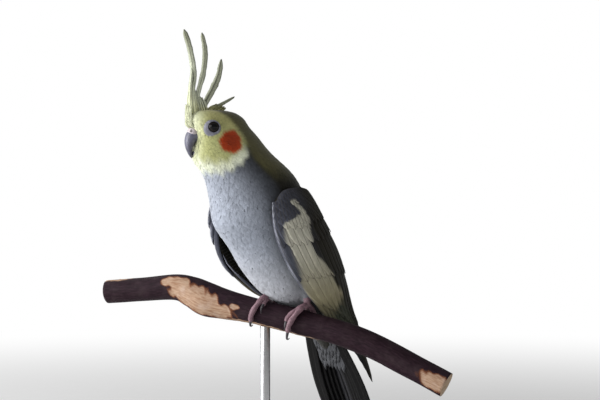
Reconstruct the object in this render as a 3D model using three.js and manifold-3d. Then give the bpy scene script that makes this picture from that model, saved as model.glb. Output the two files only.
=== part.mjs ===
// A life-size cockatiel, a small crested parrot, gripping a short cut length of branch on a plain display stand.
// Millimetres, +Z up. The bird looks along -Y with its left side at +X, and its head is turned a little to its right.
// The origin is the middle of the stand's underside.
import * as THREE from "three";
import { mergeVertices } from "three/addons/utils/BufferGeometryUtils.js";
import Module from "manifold-3d";

const wasm = await Module();
wasm.setup();

// Driving sizes
const GAP = 0.32; // the clearance that touching pieces keep
const BASE_THICK = 8;
const BASE_LONG = 172;
const BASE_WIDE = 136;
const PERCH_HEIGHT = 146; // from the floor to the branch's centre line between the feet
const PERCH_BACK = -12; // where that point lies behind the middle of the base
const BRANCH_RADIUS = 7.7;
const BRANCH_TURN = 28; // degrees from the bird's left towards its back
const HEAD_TURN = -22; // degrees, towards the bird's right
const NECK_AXIS_Y = -34; // the upright line about which the neck turns
const NECK_LOW = 74; // the turn begins at this height above the perch
const NECK_HIGH = 96; // and is complete at this one

const rad = THREE.MathUtils.degToRad;
const { lerp, smoothstep, clamp } = THREE.MathUtils;
const vec = (x, y, z) => new THREE.Vector3(x, y, z);

// Draws numbers from 0 to 1, the same ones for the same seed.
function seeded(seed) {
  let state = seed * 9301 + 49297;
  return () => {
    state = (state * 1103515245 + 12345) % 2147483648;
    return state / 2147483648;
  };
}

// Solids

// A closed surface as a manifold-3d solid, turned to face out.
function solidOf(geometry) {
  geometry.deleteAttribute("normal");
  geometry.deleteAttribute("uv");
  const merged = mergeVertices(geometry, 1e-4);
  const vertProperties = new Float32Array(merged.getAttribute("position").array);
  const triVerts = new Uint32Array(merged.index.array);
  const build = () => new wasm.Manifold(new wasm.Mesh({ numProp: 3, vertProperties, triVerts }));
  let made = build();
  if (made.volume() < 0) {
    for (let i = 0; i < triVerts.length; i += 3) {
      [triVerts[i + 1], triVerts[i + 2]] = [triVerts[i + 2], triVerts[i + 1]];
    }
    made = build();
  }
  return made;
}

// Keeps the largest closed surface, so that no loose scrap or sealed hollow stays.
function largest(solid) {
  const bodies = solid.decompose();
  return bodies.reduce((best, body) => (body.volume() > best.volume() ? body : best));
}

const union = (solids) => solids.reduce((all, one) => all.add(one));

// A solid's skin as three.js geometry.
function geometryOf(solid) {
  const mesh = solid.getMesh();
  const stride = mesh.numProp;
  const position = new Float32Array(mesh.numVert * 3);
  for (let i = 0; i < mesh.numVert; i++) {
    position.set(mesh.vertProperties.subarray(i * stride, i * stride + 3), i * 3);
  }
  const geometry = new THREE.BufferGeometry();
  geometry.setAttribute("position", new THREE.BufferAttribute(position, 3));
  geometry.setIndex(new THREE.BufferAttribute(mesh.triVerts, 1));
  geometry.computeVertexNormals();
  return geometry;
}

// A smooth solid with its skin moved out all round, for cutting what lies against it.
function swollen(solid, grow = GAP * 1.15) {
  const geometry = geometryOf(solid);
  const position = geometry.getAttribute("position");
  const normal = geometry.getAttribute("normal");
  for (let i = 0; i < position.count; i++) {
    position.setXYZ(
      i,
      position.getX(i) + normal.getX(i) * grow,
      position.getY(i) + normal.getY(i) * grow,
      position.getZ(i) + normal.getZ(i) * grow,
    );
  }
  return solidOf(geometry);
}

// A named mesh in the given colour from a solid.
function meshOf(name, solid, color, roughness = 0.8) {
  const geometry = geometryOf(largest(solid));
  const made = new THREE.Mesh(geometry, new THREE.MeshStandardMaterial({ color, roughness, metalness: 0 }));
  made.name = name;
  return made;
}

// A closed round body. at(u, v) gives its skin, with u once round it and v from one end to the other.
function roundBody(around, along, at) {
  const geometry = new THREE.SphereGeometry(1, around, along);
  const position = geometry.getAttribute("position");
  const uv = geometry.getAttribute("uv");
  for (let i = 0; i < position.count; i++) {
    const v = 1 - uv.getY(i);
    const u = v < 1e-6 || v > 1 - 1e-6 ? 0 : uv.getX(i) % 1;
    const p = at(u, v);
    position.setXYZ(i, p.x, p.y, p.z);
  }
  return solidOf(geometry);
}

// A thin closed plate. at(u, v, side) gives its skin, with side 1 outside and -1 inside, and both faces split alike.
function plate(across, along, at) {
  const grid = new THREE.PlaneGeometry(1, 1, across, along);
  const uv = grid.getAttribute("uv");
  const count = uv.count;
  const position = new Float32Array(count * 6);
  for (let i = 0; i < count; i++) {
    at(uv.getX(i), 1 - uv.getY(i), 1).toArray(position, i * 3);
    at(uv.getX(i), 1 - uv.getY(i), -1).toArray(position, (count + i) * 3);
  }
  const index = [];
  const face = grid.index.array;
  for (let i = 0; i < face.length; i += 3) {
    index.push(face[i], face[i + 1], face[i + 2]);
    index.push(face[i] + count, face[i + 2] + count, face[i + 1] + count);
  }
  const row = across + 1;
  const rim = [];
  for (let i = 0; i < across; i++) rim.push(i);
  for (let j = 0; j < along; j++) rim.push(j * row + across);
  for (let i = across; i > 0; i--) rim.push(along * row + i);
  for (let j = along; j > 0; j--) rim.push(j * row);
  rim.forEach((a, k) => {
    const b = rim[(k + 1) % rim.length];
    index.push(a, b, a + count, b, b + count, a + count);
  });
  const geometry = new THREE.BufferGeometry();
  geometry.setAttribute("position", new THREE.BufferAttribute(position, 3));
  geometry.setIndex(index);
  return solidOf(geometry);
}

// A round tapering tube along a curve, with radius(v) from end to end and rounded ends.
function tube(curve, radius, around, along) {
  const frames = curve.computeFrenetFrames(along, false);
  return roundBody(around, along, (u, v) => {
    const k = Math.round(v * along);
    const a = u * 2 * Math.PI;
    return curve
      .getPointAt(v)
      .addScaledVector(frames.normals[k], Math.cos(a) * radius(v))
      .addScaledVector(frames.binormals[k], Math.sin(a) * radius(v));
  });
}

// Rounds off a tube's ends over the given share of its length.
const roundEnds = (v, share) => {
  const t = Math.min(v, 1 - v) / share;
  return t >= 1 ? 1 : Math.sqrt(Math.max(0, 1 - (1 - t) ** 2));
};

// Smooth curves through rows of values, one row a station, read at 0 to 1
function stations(rows, keys) {
  const curves = keys.map((key) => {
    const points = rows.map((row) => vec(row[key], 0, 0));
    return new THREE.CatmullRomCurve3(points, false, "catmullrom", 0.5);
  });
  return (s) => Object.fromEntries(keys.map((key, i) => [key, curves[i].getPoint(clamp(s, 0, 1)).x]));
}

// Turns a point of the head or neck about the upright neck axis, more the higher it lies.
function turnNeck(p) {
  const turn = rad(HEAD_TURN) * smoothstep(p.z, NECK_LOW, NECK_HIGH);
  const y = p.y - NECK_AXIS_Y;
  return vec(
    p.x * Math.cos(turn) - y * Math.sin(turn),
    NECK_AXIS_Y + p.x * Math.sin(turn) + y * Math.cos(turn),
    p.z,
  );
}

// The body's outline as level-ish slices, from the under-tail to the crown: the slice's centre behind (y) and above (z)
// the perch, its lean forward in degrees, its half width, and its reach to the front and to the back.
const BODY = [
  { part: "under-tail tip", y: 44, z: -29, lean: 27, wide: 0, front: 0, back: 0 },
  { part: "under-tail", y: 37.5, z: -14, lean: 27, wide: 8.5, front: 4, back: 3 },
  { part: "vent", y: 29, z: 2, lean: 27, wide: 15, front: 9.5, back: 8 },
  { part: "lower belly", y: 17, z: 22, lean: 27, wide: 21, front: 23.8, back: 22 },
  { part: "belly", y: 5, z: 38, lean: 27, wide: 23.2, front: 28.6, back: 26 },
  { part: "breast", y: -4, z: 54, lean: 27, wide: 24.6, front: 31, back: 27 },
  { part: "upper breast", y: -13, z: 70, lean: 30, wide: 25.2, front: 34.2, back: 23 },
  { part: "neck root", y: -25, z: 84, lean: 38, wide: 20.5, front: 27, back: 18.6 },
  { part: "neck", y: -35.5, z: 94, lean: 38, wide: 16.5, front: 20, back: 20 },
  { part: "cheeks", y: -42, z: 101, lean: 30, wide: 14.5, front: 18.4, back: 20.5 },
  { part: "eyes", y: -45, z: 108.5, lean: 18, wide: 12.6, front: 12.6, back: 19.6 },
  { part: "brow", y: -46, z: 115, lean: 5, wide: 10.6, front: 15, back: 18 },
  { part: "crown edge", y: -46, z: 119.6, lean: 0, wide: 7, front: 12, back: 12.5 },
  { part: "crown", y: -46, z: 121.4, lean: 0, wide: 0, front: 0, back: 0 },
];
const bodyAt = stations(BODY, ["y", "z", "lean", "wide", "front", "back"]);

// A point of the feathered body: s from the under-tail to the crown, a the angle round it from the front.
function bodyPoint(s, a, grow = 0) {
  const slice = bodyAt(s);
  const lean = rad(slice.lean);
  const across = Math.sin(a) * (Math.max(slice.wide, 0) + grow);
  const reach = Math.cos(a) > 0 ? Math.max(slice.front, 0) : Math.max(slice.back, 0);
  const back = -Math.cos(a) * (reach + grow);
  return turnNeck(vec(across, slice.y + back * Math.cos(lean), slice.z + back * Math.sin(lean)));
}

const bodySolid = (around, along, grow = 0) =>
  roundBody(around, along, (u, v) => bodyPoint(v, u * 2 * Math.PI, v < 1e-6 || v > 1 - 1e-6 ? 0 : grow));

// The folded wing's inner face, for the bird's left: its front edge, its outermost line and its back edge, from the
// bend of the wing to its tip.
const WING = [
  { part: "bend", front: vec(21.5, -20, 73), mid: vec(23, -11, 76), back: vec(16, 1, 76) },
  { part: "shoulder", front: vec(26, -26.5, 63), mid: vec(27.5, -6.5, 66), back: vec(7, 15.5, 68) },
  { part: "forearm", front: vec(27.7, -25, 48), mid: vec(29.5, 1, 52), back: vec(3, 27.5, 55) },
  { part: "coverts", front: vec(29, -16, 30), mid: vec(28.5, 12.5, 36), back: vec(3, 39, 39) },
  { part: "secondaries", front: vec(26.5, 0.5, 14), mid: vec(24.5, 26, 19), back: vec(3.5, 49.5, 21) },
  { part: "tertials", front: vec(21, 21.2, -1), mid: vec(19, 39, 1), back: vec(6, 55, 4) },
  { part: "primaries", front: vec(17.5, 43.5, -21), mid: vec(17, 53, -20), back: vec(10, 62, -18) },
  { part: "tip", front: vec(15.5, 55, -40), mid: vec(16.5, 62.5, -42), back: vec(13, 69.5, -41.5) },
];
const WING_THICK = 6.5; // of the folded wing over its inner face at the bend
const WING_TIP_THICK = 1.6;
const WING_BED = 3; // how deep its flesh beds into the body feathers
const WING_EDGE_SHARE = 0.75; // its thickness at the edges, of that in the middle
const wingLines = ["front", "mid", "back"].map(
  (line) => new THREE.CatmullRomCurve3(WING.map((row) => row[line]), false, "catmullrom", 0.5),
);

// A point of the wing's inner face: t from the bend to the tip and w from the front edge to the back one.
function wingSkin(t, w) {
  const [front, mid, back] = wingLines.map((line) => line.getPoint(clamp(t, 0, 1)));
  return vec(0, 0, 0)
    .addScaledVector(front, (1 - w) * (1 - 2 * w))
    .addScaledVector(mid, 4 * w * (1 - w))
    .addScaledVector(back, w * (2 * w - 1));
}

function wingNormal(t, w) {
  const step = 0.01;
  const along = wingSkin(Math.min(t + step, 1), w).sub(wingSkin(Math.max(t - step, 0), w));
  const across = wingSkin(t, Math.min(w + step, 1)).sub(wingSkin(t, Math.max(w - step, 0)));
  return along.cross(across).normalize();
}

// The folded wing's thickness over its inner face, most at the bend and least at the tip and at both edges.
function wingThick(t, w) {
  const middle = lerp(WING_THICK, WING_TIP_THICK, smoothstep(t, 0.3, 0.8));
  return middle * lerp(1, WING_EDGE_SHARE, clamp((2 * w - 1) ** 2, 0, 1));
}

// A point at a depth under the folded wing's outer surface
const wingPoint = (t, w, depth) => wingSkin(t, w).addScaledVector(wingNormal(t, w), wingThick(t, w) - depth);

// Mirrors a solid of the bird's left to its right.
const mirrorX = (solid) => solid.mirror([1, 0, 0]);

// The branch: how far a point lies along it from between the feet, its height and its radius there
const BRANCH = [
  { along: -112, height: 12.3, radius: 7.3 },
  { along: -88, height: 14.3, radius: 7.3 },
  { along: -66, height: 16, radius: 7.9 },
  { along: -55, height: 13.4, radius: 9.2 },
  { along: -45, height: 9.2, radius: 10 },
  { along: -34, height: 6.6, radius: 9 },
  { along: -17, height: 3.4, radius: 7.8 },
  { along: 0, height: 0, radius: BRANCH_RADIUS },
  { along: 15, height: -3.2, radius: BRANCH_RADIUS },
  { along: 38, height: -8.3, radius: 7.5 },
  { along: 58, height: -14.7, radius: 7.4 },
  { along: 75, height: -22.4, radius: 7.4 },
  { along: 103, height: -36, radius: 7.3 },
];
const branchAt = stations(BRANCH, ["along", "height", "radius"]);
const branchWay = vec(Math.cos(rad(BRANCH_TURN)), Math.sin(rad(BRANCH_TURN)), 0);
const branchFront = vec(branchWay.y, -branchWay.x, 0);

// The share of the branch's stations at which it lies that far along.
function branchShare(along) {
  let low = 0;
  let high = 1;
  for (let i = 0; i < 24; i++) {
    const half = (low + high) / 2;
    if (branchAt(half).along < along) low = half;
    else high = half;
  }
  return low;
}

// A point that far out of the bark, with the angle from the top towards the bird's front in degrees.
function branchPoint(share, angle, out = 0) {
  const { along, height, radius } = branchAt(share);
  const step = 0.01;
  const before = branchAt(share - step);
  const after = branchAt(share + step);
  const rise = after.height - before.height;
  const way = vec(0, 0, rise).addScaledVector(branchWay, after.along - before.along).normalize();
  const up = new THREE.Vector3().crossVectors(way, branchFront).normalize();
  if (up.z < 0) up.negate();
  const a = rad(angle);
  return vec(0, 0, height)
    .addScaledVector(branchWay, along)
    .addScaledVector(up, Math.cos(a) * (radius + out))
    .addScaledVector(branchFront, Math.sin(a) * (radius + out));
}

// The branch as a closed body with flat sawn ends, swollen all round by grow.
function branchSolid(around, along, grow = 0) {
  const geometry = new THREE.CylinderGeometry(1, 1, 1, around, along, false);
  const position = geometry.getAttribute("position");
  for (let i = 0; i < position.count; i++) {
    const p = vec(position.getX(i), position.getY(i), position.getZ(i));
    const rim = Math.hypot(p.x, p.z);
    const share = p.y + 0.5;
    const skin = branchPoint(share, THREE.MathUtils.radToDeg(Math.atan2(p.x, p.z)), grow);
    const core = branchPoint(share, 0, -branchAt(share).radius);
    const q = rim < 0.5 ? core : skin;
    position.setXYZ(i, q.x, q.y, q.z);
  }
  return solidOf(geometry);
}

// The bird's own parts

// A round body of the head along a bowed middle line.
function bowedSolid(rows, around, along) {
  const at = stations(rows, ["y", "z", "wide", "thick"]);
  return roundBody(around, along, (u, v) => {
    const here = at(v);
    const ahead = at(v + 0.01);
    const behind = at(v - 0.01);
    const way = vec(0, ahead.y - behind.y, ahead.z - behind.z).normalize();
    const side = Math.sin(u * 2 * Math.PI) * Math.max(here.wide, 0);
    const up = Math.cos(u * 2 * Math.PI) * Math.max(here.thick, 0);
    return turnNeck(vec(side, here.y - way.z * up, here.z + way.y * up));
  });
}

// The upper half of the bill, from inside the face over its arch to the tip
const UPPER_BILL = [
  { y: -50, z: 103.6, wide: 0, thick: 0 },
  { y: -51, z: 104.2, wide: 3.6, thick: 3.6 },
  { y: -54.4, z: 105.8, wide: 4.3, thick: 4.3 },
  { y: -57.5, z: 105.6, wide: 4.4, thick: 4.2 },
  { y: -59.3, z: 103, wide: 4, thick: 3.3 },
  { y: -59.9, z: 99.6, wide: 3.1, thick: 2.3 },
  { y: -59.5, z: 96.4, wide: 2, thick: 1.4 },
  { y: -58.9, z: 94.2, wide: 1, thick: 0.8 },
  { y: -58.5, z: 92.7, wide: 0, thick: 0 },
];
const LOWER_BILL = [
  { y: -50, z: 95.6, wide: 0, thick: 0 },
  { y: -51, z: 95.6, wide: 2.9, thick: 1.8 },
  { y: -54.6, z: 95.6, wide: 3.3, thick: 2.1 },
  { y: -57.2, z: 95.9, wide: 2.8, thick: 1.7 },
  { y: -58.6, z: 96.2, wide: 0, thick: 0 },
];
const CERE = { y: -56.6, z: 108.7, wide: 3.7, long: 2.6, tall: 1.9 };
const NOSTRIL = { x: 2.1, y: -58.8, z: 109, radius: 0.6 };
const EYE = vec(9.3, -48.2, 110.4);
const EYE_RADIUS = 3.9;
const LID_RADIUS = 3.5; // from the eye's middle to the middle of the lids' rim
const LID_THICK = 0.85;
const LID_OUT = 2.5; // how far the rim stands out from the eye's centre
const LID_TOE_IN = 12; // degrees that the eyes look forward of sideways

// A ball of the head, squashed to its three half sizes, with its centre in unturned head places.
function ballSolid(centre, half, around = 12, along = 8) {
  return roundBody(around, along, (u, v) => {
    const a = u * 2 * Math.PI;
    const b = v * Math.PI;
    return turnNeck(
      vec(
        centre.x + half.x * Math.cos(a) * Math.sin(b),
        centre.y + half.y * Math.sin(a) * Math.sin(b),
        centre.z + half.z * Math.cos(b),
      ),
    );
  });
}

const cereSolid = () => ballSolid(vec(0, CERE.y, CERE.z), vec(CERE.wide, CERE.long, CERE.tall), 10, 6);

function upperBillSolid() {
  const nostrils = [-1, 1].map((side) => {
    const { x, y, z, radius } = NOSTRIL;
    return ballSolid(vec(side * x, y, z), vec(radius, radius * 1.6, radius), 6, 4);
  });
  return bowedSolid(UPPER_BILL, 12, 12).add(cereSolid()).subtract(union(nostrils));
}

// The lids' bare rim round an eye, a little taller than it is long.
function lidSolid(side) {
  const rim = new THREE.TorusGeometry(LID_RADIUS, LID_THICK, 5, 12);
  rim.scale(1, 0.92, 1);
  rim.rotateY(side * rad(90 - LID_TOE_IN));
  const centre = turnNeck(vec(side * (EYE.x + LID_OUT), EYE.y, EYE.z));
  rim.rotateZ(rad(HEAD_TURN));
  rim.translate(centre.x, centre.y, centre.z);
  return solidOf(rim);
}

function eyeSolid(side, grow = 0) {
  const centre = turnNeck(vec(side * EYE.x, EYE.y, EYE.z));
  const ball = new THREE.SphereGeometry(EYE_RADIUS + grow, 14, 8);
  ball.translate(centre.x, centre.y, centre.z);
  return solidOf(ball);
}

// The long crest feathers, from the front one to the hindmost: the points of each shaft in front of (y) and above (z)
// the perch, x being to the left, its greatest width and how far its blade is twisted, in degrees.
const CREST = [
  {
    wide: 4.4,
    twist: 14,
    shaft: [
      vec(-0.4, -57.2, 114),
      vec(-0.5, -58.4, 128),
      vec(-0.5, -57.2, 141),
      vec(-0.3, -59.4, 155),
      vec(0, -63, 166.4),
    ],
  },
  {
    wide: 4.2,
    twist: -18,
    shaft: [
      vec(0.8, -54, 115),
      vec(0.9, -55.2, 128),
      vec(1, -51.8, 142),
      vec(1.2, -50.8, 154),
      vec(1.4, -52.8, 164.8),
    ],
  },
  {
    wide: 4.6,
    twist: 46,
    shaft: [
      vec(0.4, -54, 115),
      vec(0.6, -50.4, 125),
      vec(0.9, -46.2, 133),
      vec(1.1, -42.8, 141),
      vec(1.2, -41.2, 150),
    ],
  },
  {
    wide: 3.6,
    twist: 22,
    shaft: [vec(-0.2, -51, 117), vec(-0.2, -44.6, 122.4), vec(-0.1, -39.3, 125.2), vec(0, -32.8, 128.8)],
  },
  {
    wide: 3.4,
    twist: -10,
    shaft: [vec(0.6, -49, 117.5), vec(0.7, -44.5, 121.2), vec(0.9, -40.8, 122.6)],
  },
];
// The shorter ones that rise in a bundle from the forehead before them
const CREST_SHORT = 10;
const CREST_SHORT_WIDE = 4;
// The crown's skin that carries them all, raised over the head
const CREST_ROOT = [
  { y: -57.5, z: 110.5, wide: 0, thick: 0 },
  { y: -57.3, z: 112.5, wide: 4.2, thick: 3.4 },
  { y: -55.4, z: 117, wide: 5.4, thick: 4.8 },
  { y: -51, z: 119, wide: 5, thick: 3.6 },
  { y: -46.5, z: 119.6, wide: 3.8, thick: 2.6 },
  { y: -43, z: 119.4, wide: 0, thick: 0 },
];

// A crest feather's blade on its shaft: a narrow vane with raised edges, pointed at its tip.
function crestFeather({ wide, twist, shaft }, along = 7) {
  const curve = new THREE.CatmullRomCurve3(shaft.map(turnNeck));
  const left = vec(Math.cos(rad(HEAD_TURN)), Math.sin(rad(HEAD_TURN)), 0);
  return plate(2, along, (u, v, face) => {
    const way = curve.getTangentAt(v);
    const side = left.clone().applyAxisAngle(way, rad(twist));
    const out = new THREE.Vector3().crossVectors(side, way).normalize();
    const half = (wide / 2) * lerp(0.55, 1, smoothstep(v, 0, 0.4)) * Math.sqrt(1 - 0.97 * v ** 4);
    const across = u * 2 - 1;
    return curve
      .getPointAt(v)
      .addScaledVector(side, across * half)
      .addScaledVector(out, face * lerp(0.42, 0.3, v) - 0.2 * half * across ** 2);
  });
}

function crestFeathers() {
  const random = seeded(7);
  const feathers = CREST.map((feather) => crestFeather(feather));
  for (let i = 0; i < CREST_SHORT; i++) {
    const t = i / (CREST_SHORT - 1);
    const x = (i % 3 - 1) * lerp(1.6, 2.6, random());
    const root = vec(x, lerp(-58.6, -49, t), lerp(112.5, 117, t));
    const rise = lerp(19, 9, t) * lerp(0.85, 1.15, random());
    const lean = lerp(-0.02, 0.55, t) + (random() - 0.5) * 0.12;
    const mid = root.clone().add(vec(-0.1 * x, lean * rise * 0.3 - 0.9 * (1 - t), rise * 0.55));
    const tip = root.clone().add(vec(-0.4 * x, lean * rise, rise));
    feathers.push(crestFeather({ wide: CREST_SHORT_WIDE, twist: x * -9, shaft: [root, mid, tip] }, 4));
  }
  return union(feathers);
}

const crestRoot = () => bowedSolid(CREST_ROOT, 10, 7);

// The tail's line from its root in the body to the tip of the longest feathers
const TAIL_ROOT = vec(0, 29.7, 6);
const TAIL_TIP = vec(0, 93.8, -132);
const tailWay = TAIL_TIP.clone().sub(TAIL_ROOT);
const tailUp = vec(0, -tailWay.z, tailWay.y).normalize(); // out of its upper face

// The tail's feathers on each side from the middle pair outwards, as shares of the longest one's length
const TAIL_LENGTHS = [1, 0.88, 0.74, 0.64, 0.57, 0.52];
const TAIL_WIDE = 9.6; // a feather's greatest width
const TAIL_PITCH = 3.35; // from one feather's shaft to the next, side by side
const TAIL_LEVEL = 0.86; // from one feather's level to the next, one above the other
const VANE = 0.27; // half the thickness of a vane

// A point of the tail's fan: how far down its length, how far out to the left, and how high over its middle level.
const tailPoint = (along, x, up) =>
  TAIL_ROOT.clone()
    .addScaledVector(tailWay, along)
    .add(vec(x, 0, 0))
    .addScaledVector(tailUp, up);

// A vane's share of its width at v of its length: slim at the root, full in the middle and rounded off from round on.
function vaneWidth(v, round, root = 0.6) {
  const tip = clamp((v - round) / (1 - round), 0, 1);
  return lerp(root, 1, smoothstep(v, 0, 0.4)) * Math.sqrt(1 - 0.985 * tip * tip);
}

function tailFeather(pair, side) {
  const long = TAIL_LENGTHS[pair];
  const level = (TAIL_LENGTHS.length / 2 - pair) * TAIL_LEVEL + (pair === 0 && side > 0 ? TAIL_LEVEL : 0);
  const round = lerp(0.5, 0.82, pair / 5);
  return plate(1, 7, (u, v, face) => {
    const across = u * 2 - 1;
    const spread = lerp(0.5, 1, smoothstep(v * long, 0, 0.4));
    const x = side * (pair + 0.5) * TAIL_PITCH * spread + across * (TAIL_WIDE / 2) * vaneWidth(v, round);
    return tailPoint(v * long, x, level + face * VANE);
  });
}

// The thick bases of the tail feathers with the coverts over them, which join them all
function tailBase() {
  return plate(4, 5, (u, v, face) => {
    const across = u * 2 - 1;
    const half = lerp(14, 12, v) * Math.sqrt(1 - 0.9 * smoothstep(v, 0.7, 1) ** 2);
    const up = face > 0 ? lerp(4.6, 3.2, v) - 3.4 * across * across : -2.6 + 1.2 * v;
    return tailPoint(lerp(0.02, 0.24, v), across * half, up);
  });
}

// The room that the tail's upper side takes, which the wings keep out of.
function tailClear() {
  return plate(4, 5, (u, v, face) => {
    const half = lerp(17.5, 20, v);
    return tailPoint(lerp(0, 0.5, v), (u * 2 - 1) * half, face > 0 ? lerp(5.2, 3.6, v) : -6);
  });
}

function tailSolid() {
  const feathers = TAIL_LENGTHS.flatMap((_, pair) => [tailFeather(pair, 1), tailFeather(pair, -1)]);
  return union([tailBase(), ...feathers]);
}

// The wing's tiers of vanes from the outermost inwards: how many levels deep each lies, where its first vane and its
// last have their roots and tips (t from the bend to the tip, w from the front edge to the back one), their width, the
// share of their length where their ends begin to round, and how much higher each lies than the vane in front of it.
const WING_TIERS = [
  {
    tier: "median coverts",
    level: 0,
    vanes: 4,
    root: [[0.02, 0.18], [0.01, 0.84]],
    tip: [[0.28, 0.15], [0.3, 0.86]],
    wide: 14.5,
    round: 0.55,
    stack: 0.36,
    segments: 4,
  },
  {
    tier: "greater coverts",
    level: 1.2,
    vanes: 6,
    root: [[0.16, 0.12], [0.14, 0.88]],
    tip: [[0.45, 0.09], [0.5, 0.9]],
    wide: 11.6,
    round: 0.72,
    stack: 0.36,
    segments: 4,
  },
  {
    tier: "secondaries",
    level: 2.3,
    vanes: 5,
    root: [[0.27, 0.24], [0.26, 0.86]],
    tip: [[0.64, 0.24], [0.8, 0.82]],
    wide: 12,
    round: 0.8,
    stack: 0.44,
    segments: 5,
  },
  {
    tier: "primaries",
    level: 4,
    vanes: 4,
    root: [[0.38, 0.09], [0.4, 0.46]],
    tip: [[0.84, 0.06], [1, 0.5]],
    wide: 9,
    round: 0.74,
    stack: 0.64,
    segments: 5,
  },
];
const TIER_STEP = 1.25; // from one tier's level to the next
const TOP_TIER = { from: 0.27, step: 0.235 }; // where the outermost tier ends, and how far on each next one does
const SHINGLE = 0.05; // how steeply a wing vane lies over its neighbour

// The depth of a tier's level under the wing's outer surface, which comes up as the tiers outside it end.
const tierDepth = (tier, t) => 0.35 + TIER_STEP * (tier - Math.max(0, (t - TOP_TIER.from) / TOP_TIER.step));

// A vane on the wing from one place on it to another, its front edge raised over the vane before it.
function wingVane(lower, root, tip, { level, wide, round, segments }) {
  return plate(2, segments, (u, v, face) => {
    const share = 1 - (1 - v) ** 1.4;
    const t = lerp(root[0], tip[0], share);
    const w = lerp(root[1], tip[1], share);
    const perW = wingSkin(t, 0.75).distanceTo(wingSkin(t, 0.25)) * 2;
    const across = (u * 2 - 1) * (wide / 2) * vaneWidth(share, round);
    return wingPoint(t, w + across / perW, tierDepth(level, t) + lower + across * SHINGLE - face * VANE);
  });
}

// The wing's flesh and the feathers' quills under the tiers, which join them all. Its outer face passes below one tier
// after another.
function wingArm() {
  return plate(4, 6, (u, v, face) => {
    const t = lerp(0, 0.5, v);
    const w = lerp(0.01, 0.99, u);
    const top = Math.max(0.3, tierDepth(8 * t - 0.55, t) + 1.2 * (1 - w) * smoothstep(t, 0, 0.2));
    return wingPoint(t, w, face > 0 ? top : Math.max(wingThick(t, w) + WING_BED, top + 1.4));
  });
}

function wingSolid() {
  const random = seeded(11);
  const vanes = WING_TIERS.flatMap((tier) =>
    Array.from({ length: tier.vanes }, (_, i) => {
      const share = i / (tier.vanes - 1);
      const between = ([from, to]) => from.map((value, k) => lerp(value, to[k], share));
      const tip = between(tier.tip);
      tip[0] += (random() - 0.5) * 0.012;
      return wingVane((tier.vanes - 1 - i) * tier.stack, between(tier.root), tip, tier);
    }),
  );
  return union([wingArm(), ...vanes]);
}

// Feet: where the ankle stands along the branch, and for each toe its spread along it, the angle round the branch at
// which it ends, its half thickness and how far its end lifts off the bark. Toes 2 and 3 grip the front and toes 1 and
// 4 the back, as in all parrots.
const FEET = {
  left: {
    ankle: 16.4,
    knee: vec(15, 9, 29),
    toes: [
      { toe: 1, spread: -3, end: -92, thick: 1.3, lift: 0 },
      { toe: 2, spread: -7, end: 92, thick: 1.4, lift: 0 },
      { toe: 3, spread: -5, end: 126, thick: 1.6, lift: 2.2 },
      { toe: 4, spread: 6, end: -118, thick: 1.5, lift: 0 },
    ],
  },
  right: {
    ankle: -8,
    knee: vec(-12, 1, 33),
    toes: [
      { toe: 1, spread: 4.6, end: -90, thick: 1.3, lift: 0 },
      { toe: 2, spread: 1, end: 52, thick: 1.4, lift: 0 },
      { toe: 3, spread: -4.6, end: 124, thick: 1.6, lift: 0 },
      { toe: 4, spread: -2.6, end: -122, thick: 1.5, lift: 0 },
    ],
  },
};
const ANKLE_OUT = 4.6; // the ankle joint's height over the bark
const THIGH_RADIUS = 6.6;
const CLAW_TURN = 34; // degrees round the branch that a claw reaches past its toe
const CLAW_ROOT = 5; // and that its root is sunk into the toe

// The middle line of a toe and its claw round the branch: t is 0 at the ankle and 1 at the toe's end.
function toePoint(foot, { spread, end, thick, lift }, t) {
  const share = branchShare(foot.ankle + spread * smoothstep(t, 0, 0.9));
  const angle = end * Math.min(t, 1) + Math.sign(end) * CLAW_TURN * Math.max(t - 1, 0);
  const rest = GAP + thick * 0.96 + lift * smoothstep(t, 0.5, 1.4);
  return branchPoint(share, angle, lerp(ANKLE_OUT - 1, rest, smoothstep(t, 0.12, 0.62)));
}

function toeSolid(foot, toe, grow = 0) {
  const points = [0, 0.18, 0.4, 0.6, 0.8, 1].map((t) => toePoint(foot, toe, t));
  const curve = new THREE.CatmullRomCurve3(points);
  const knuckles = (v) => 1 + 0.08 * Math.cos(v * 6 * Math.PI);
  return tube(curve, (v) => (toe.thick * knuckles(v) + grow) * roundEnds(v, 0.07), 7, 8);
}

// A hooked claw, its root sunk in the toe's end.
function clawSolid(foot, toe, grow = 0) {
  const start = 1 - CLAW_ROOT / Math.abs(toe.end);
  const points = [0, 0.4, 0.75, 1].map((t) => {
    const p = toePoint(foot, toe, lerp(start, 2, t));
    const centre = branchPoint(branchShare(foot.ankle + toe.spread), toe.end, -BRANCH_RADIUS);
    const out = p.clone().sub(centre).normalize();
    return p.addScaledVector(out, lerp(0.2, 0.4 - toe.thick, t * t) + 1.1 * Math.sin(Math.PI * t));
  });
  const curve = new THREE.CatmullRomCurve3(points);
  const radius = (v) => lerp(toe.thick * 0.68, 0.22, v ** 0.8);
  return tube(curve, (v) => (radius(v) + grow) * roundEnds(Math.min(v, 0.5), 0.12), 7, 6);
}

// The leg from its ankle up to the thigh inside the belly, swollen all round by grow.
function legSolid(foot, grow = 0) {
  const low = branchPoint(branchShare(foot.ankle), 0, 2);
  const ankle = branchPoint(branchShare(foot.ankle), 0, ANKLE_OUT);
  const shin = ankle.clone().lerp(foot.knee, 0.35);
  const curve = new THREE.CatmullRomCurve3([low, ankle, shin, foot.knee]);
  const radius = (v) => lerp(1.9, THIGH_RADIUS, smoothstep(v, 0.12, 0.75));
  return tube(curve, (v) => (radius(v) + grow) * roundEnds(v, 0.16), 12, 9);
}

const footClear = (foot) => union(foot.toes.map((toe) => toeSolid(foot, toe, GAP)));

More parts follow.
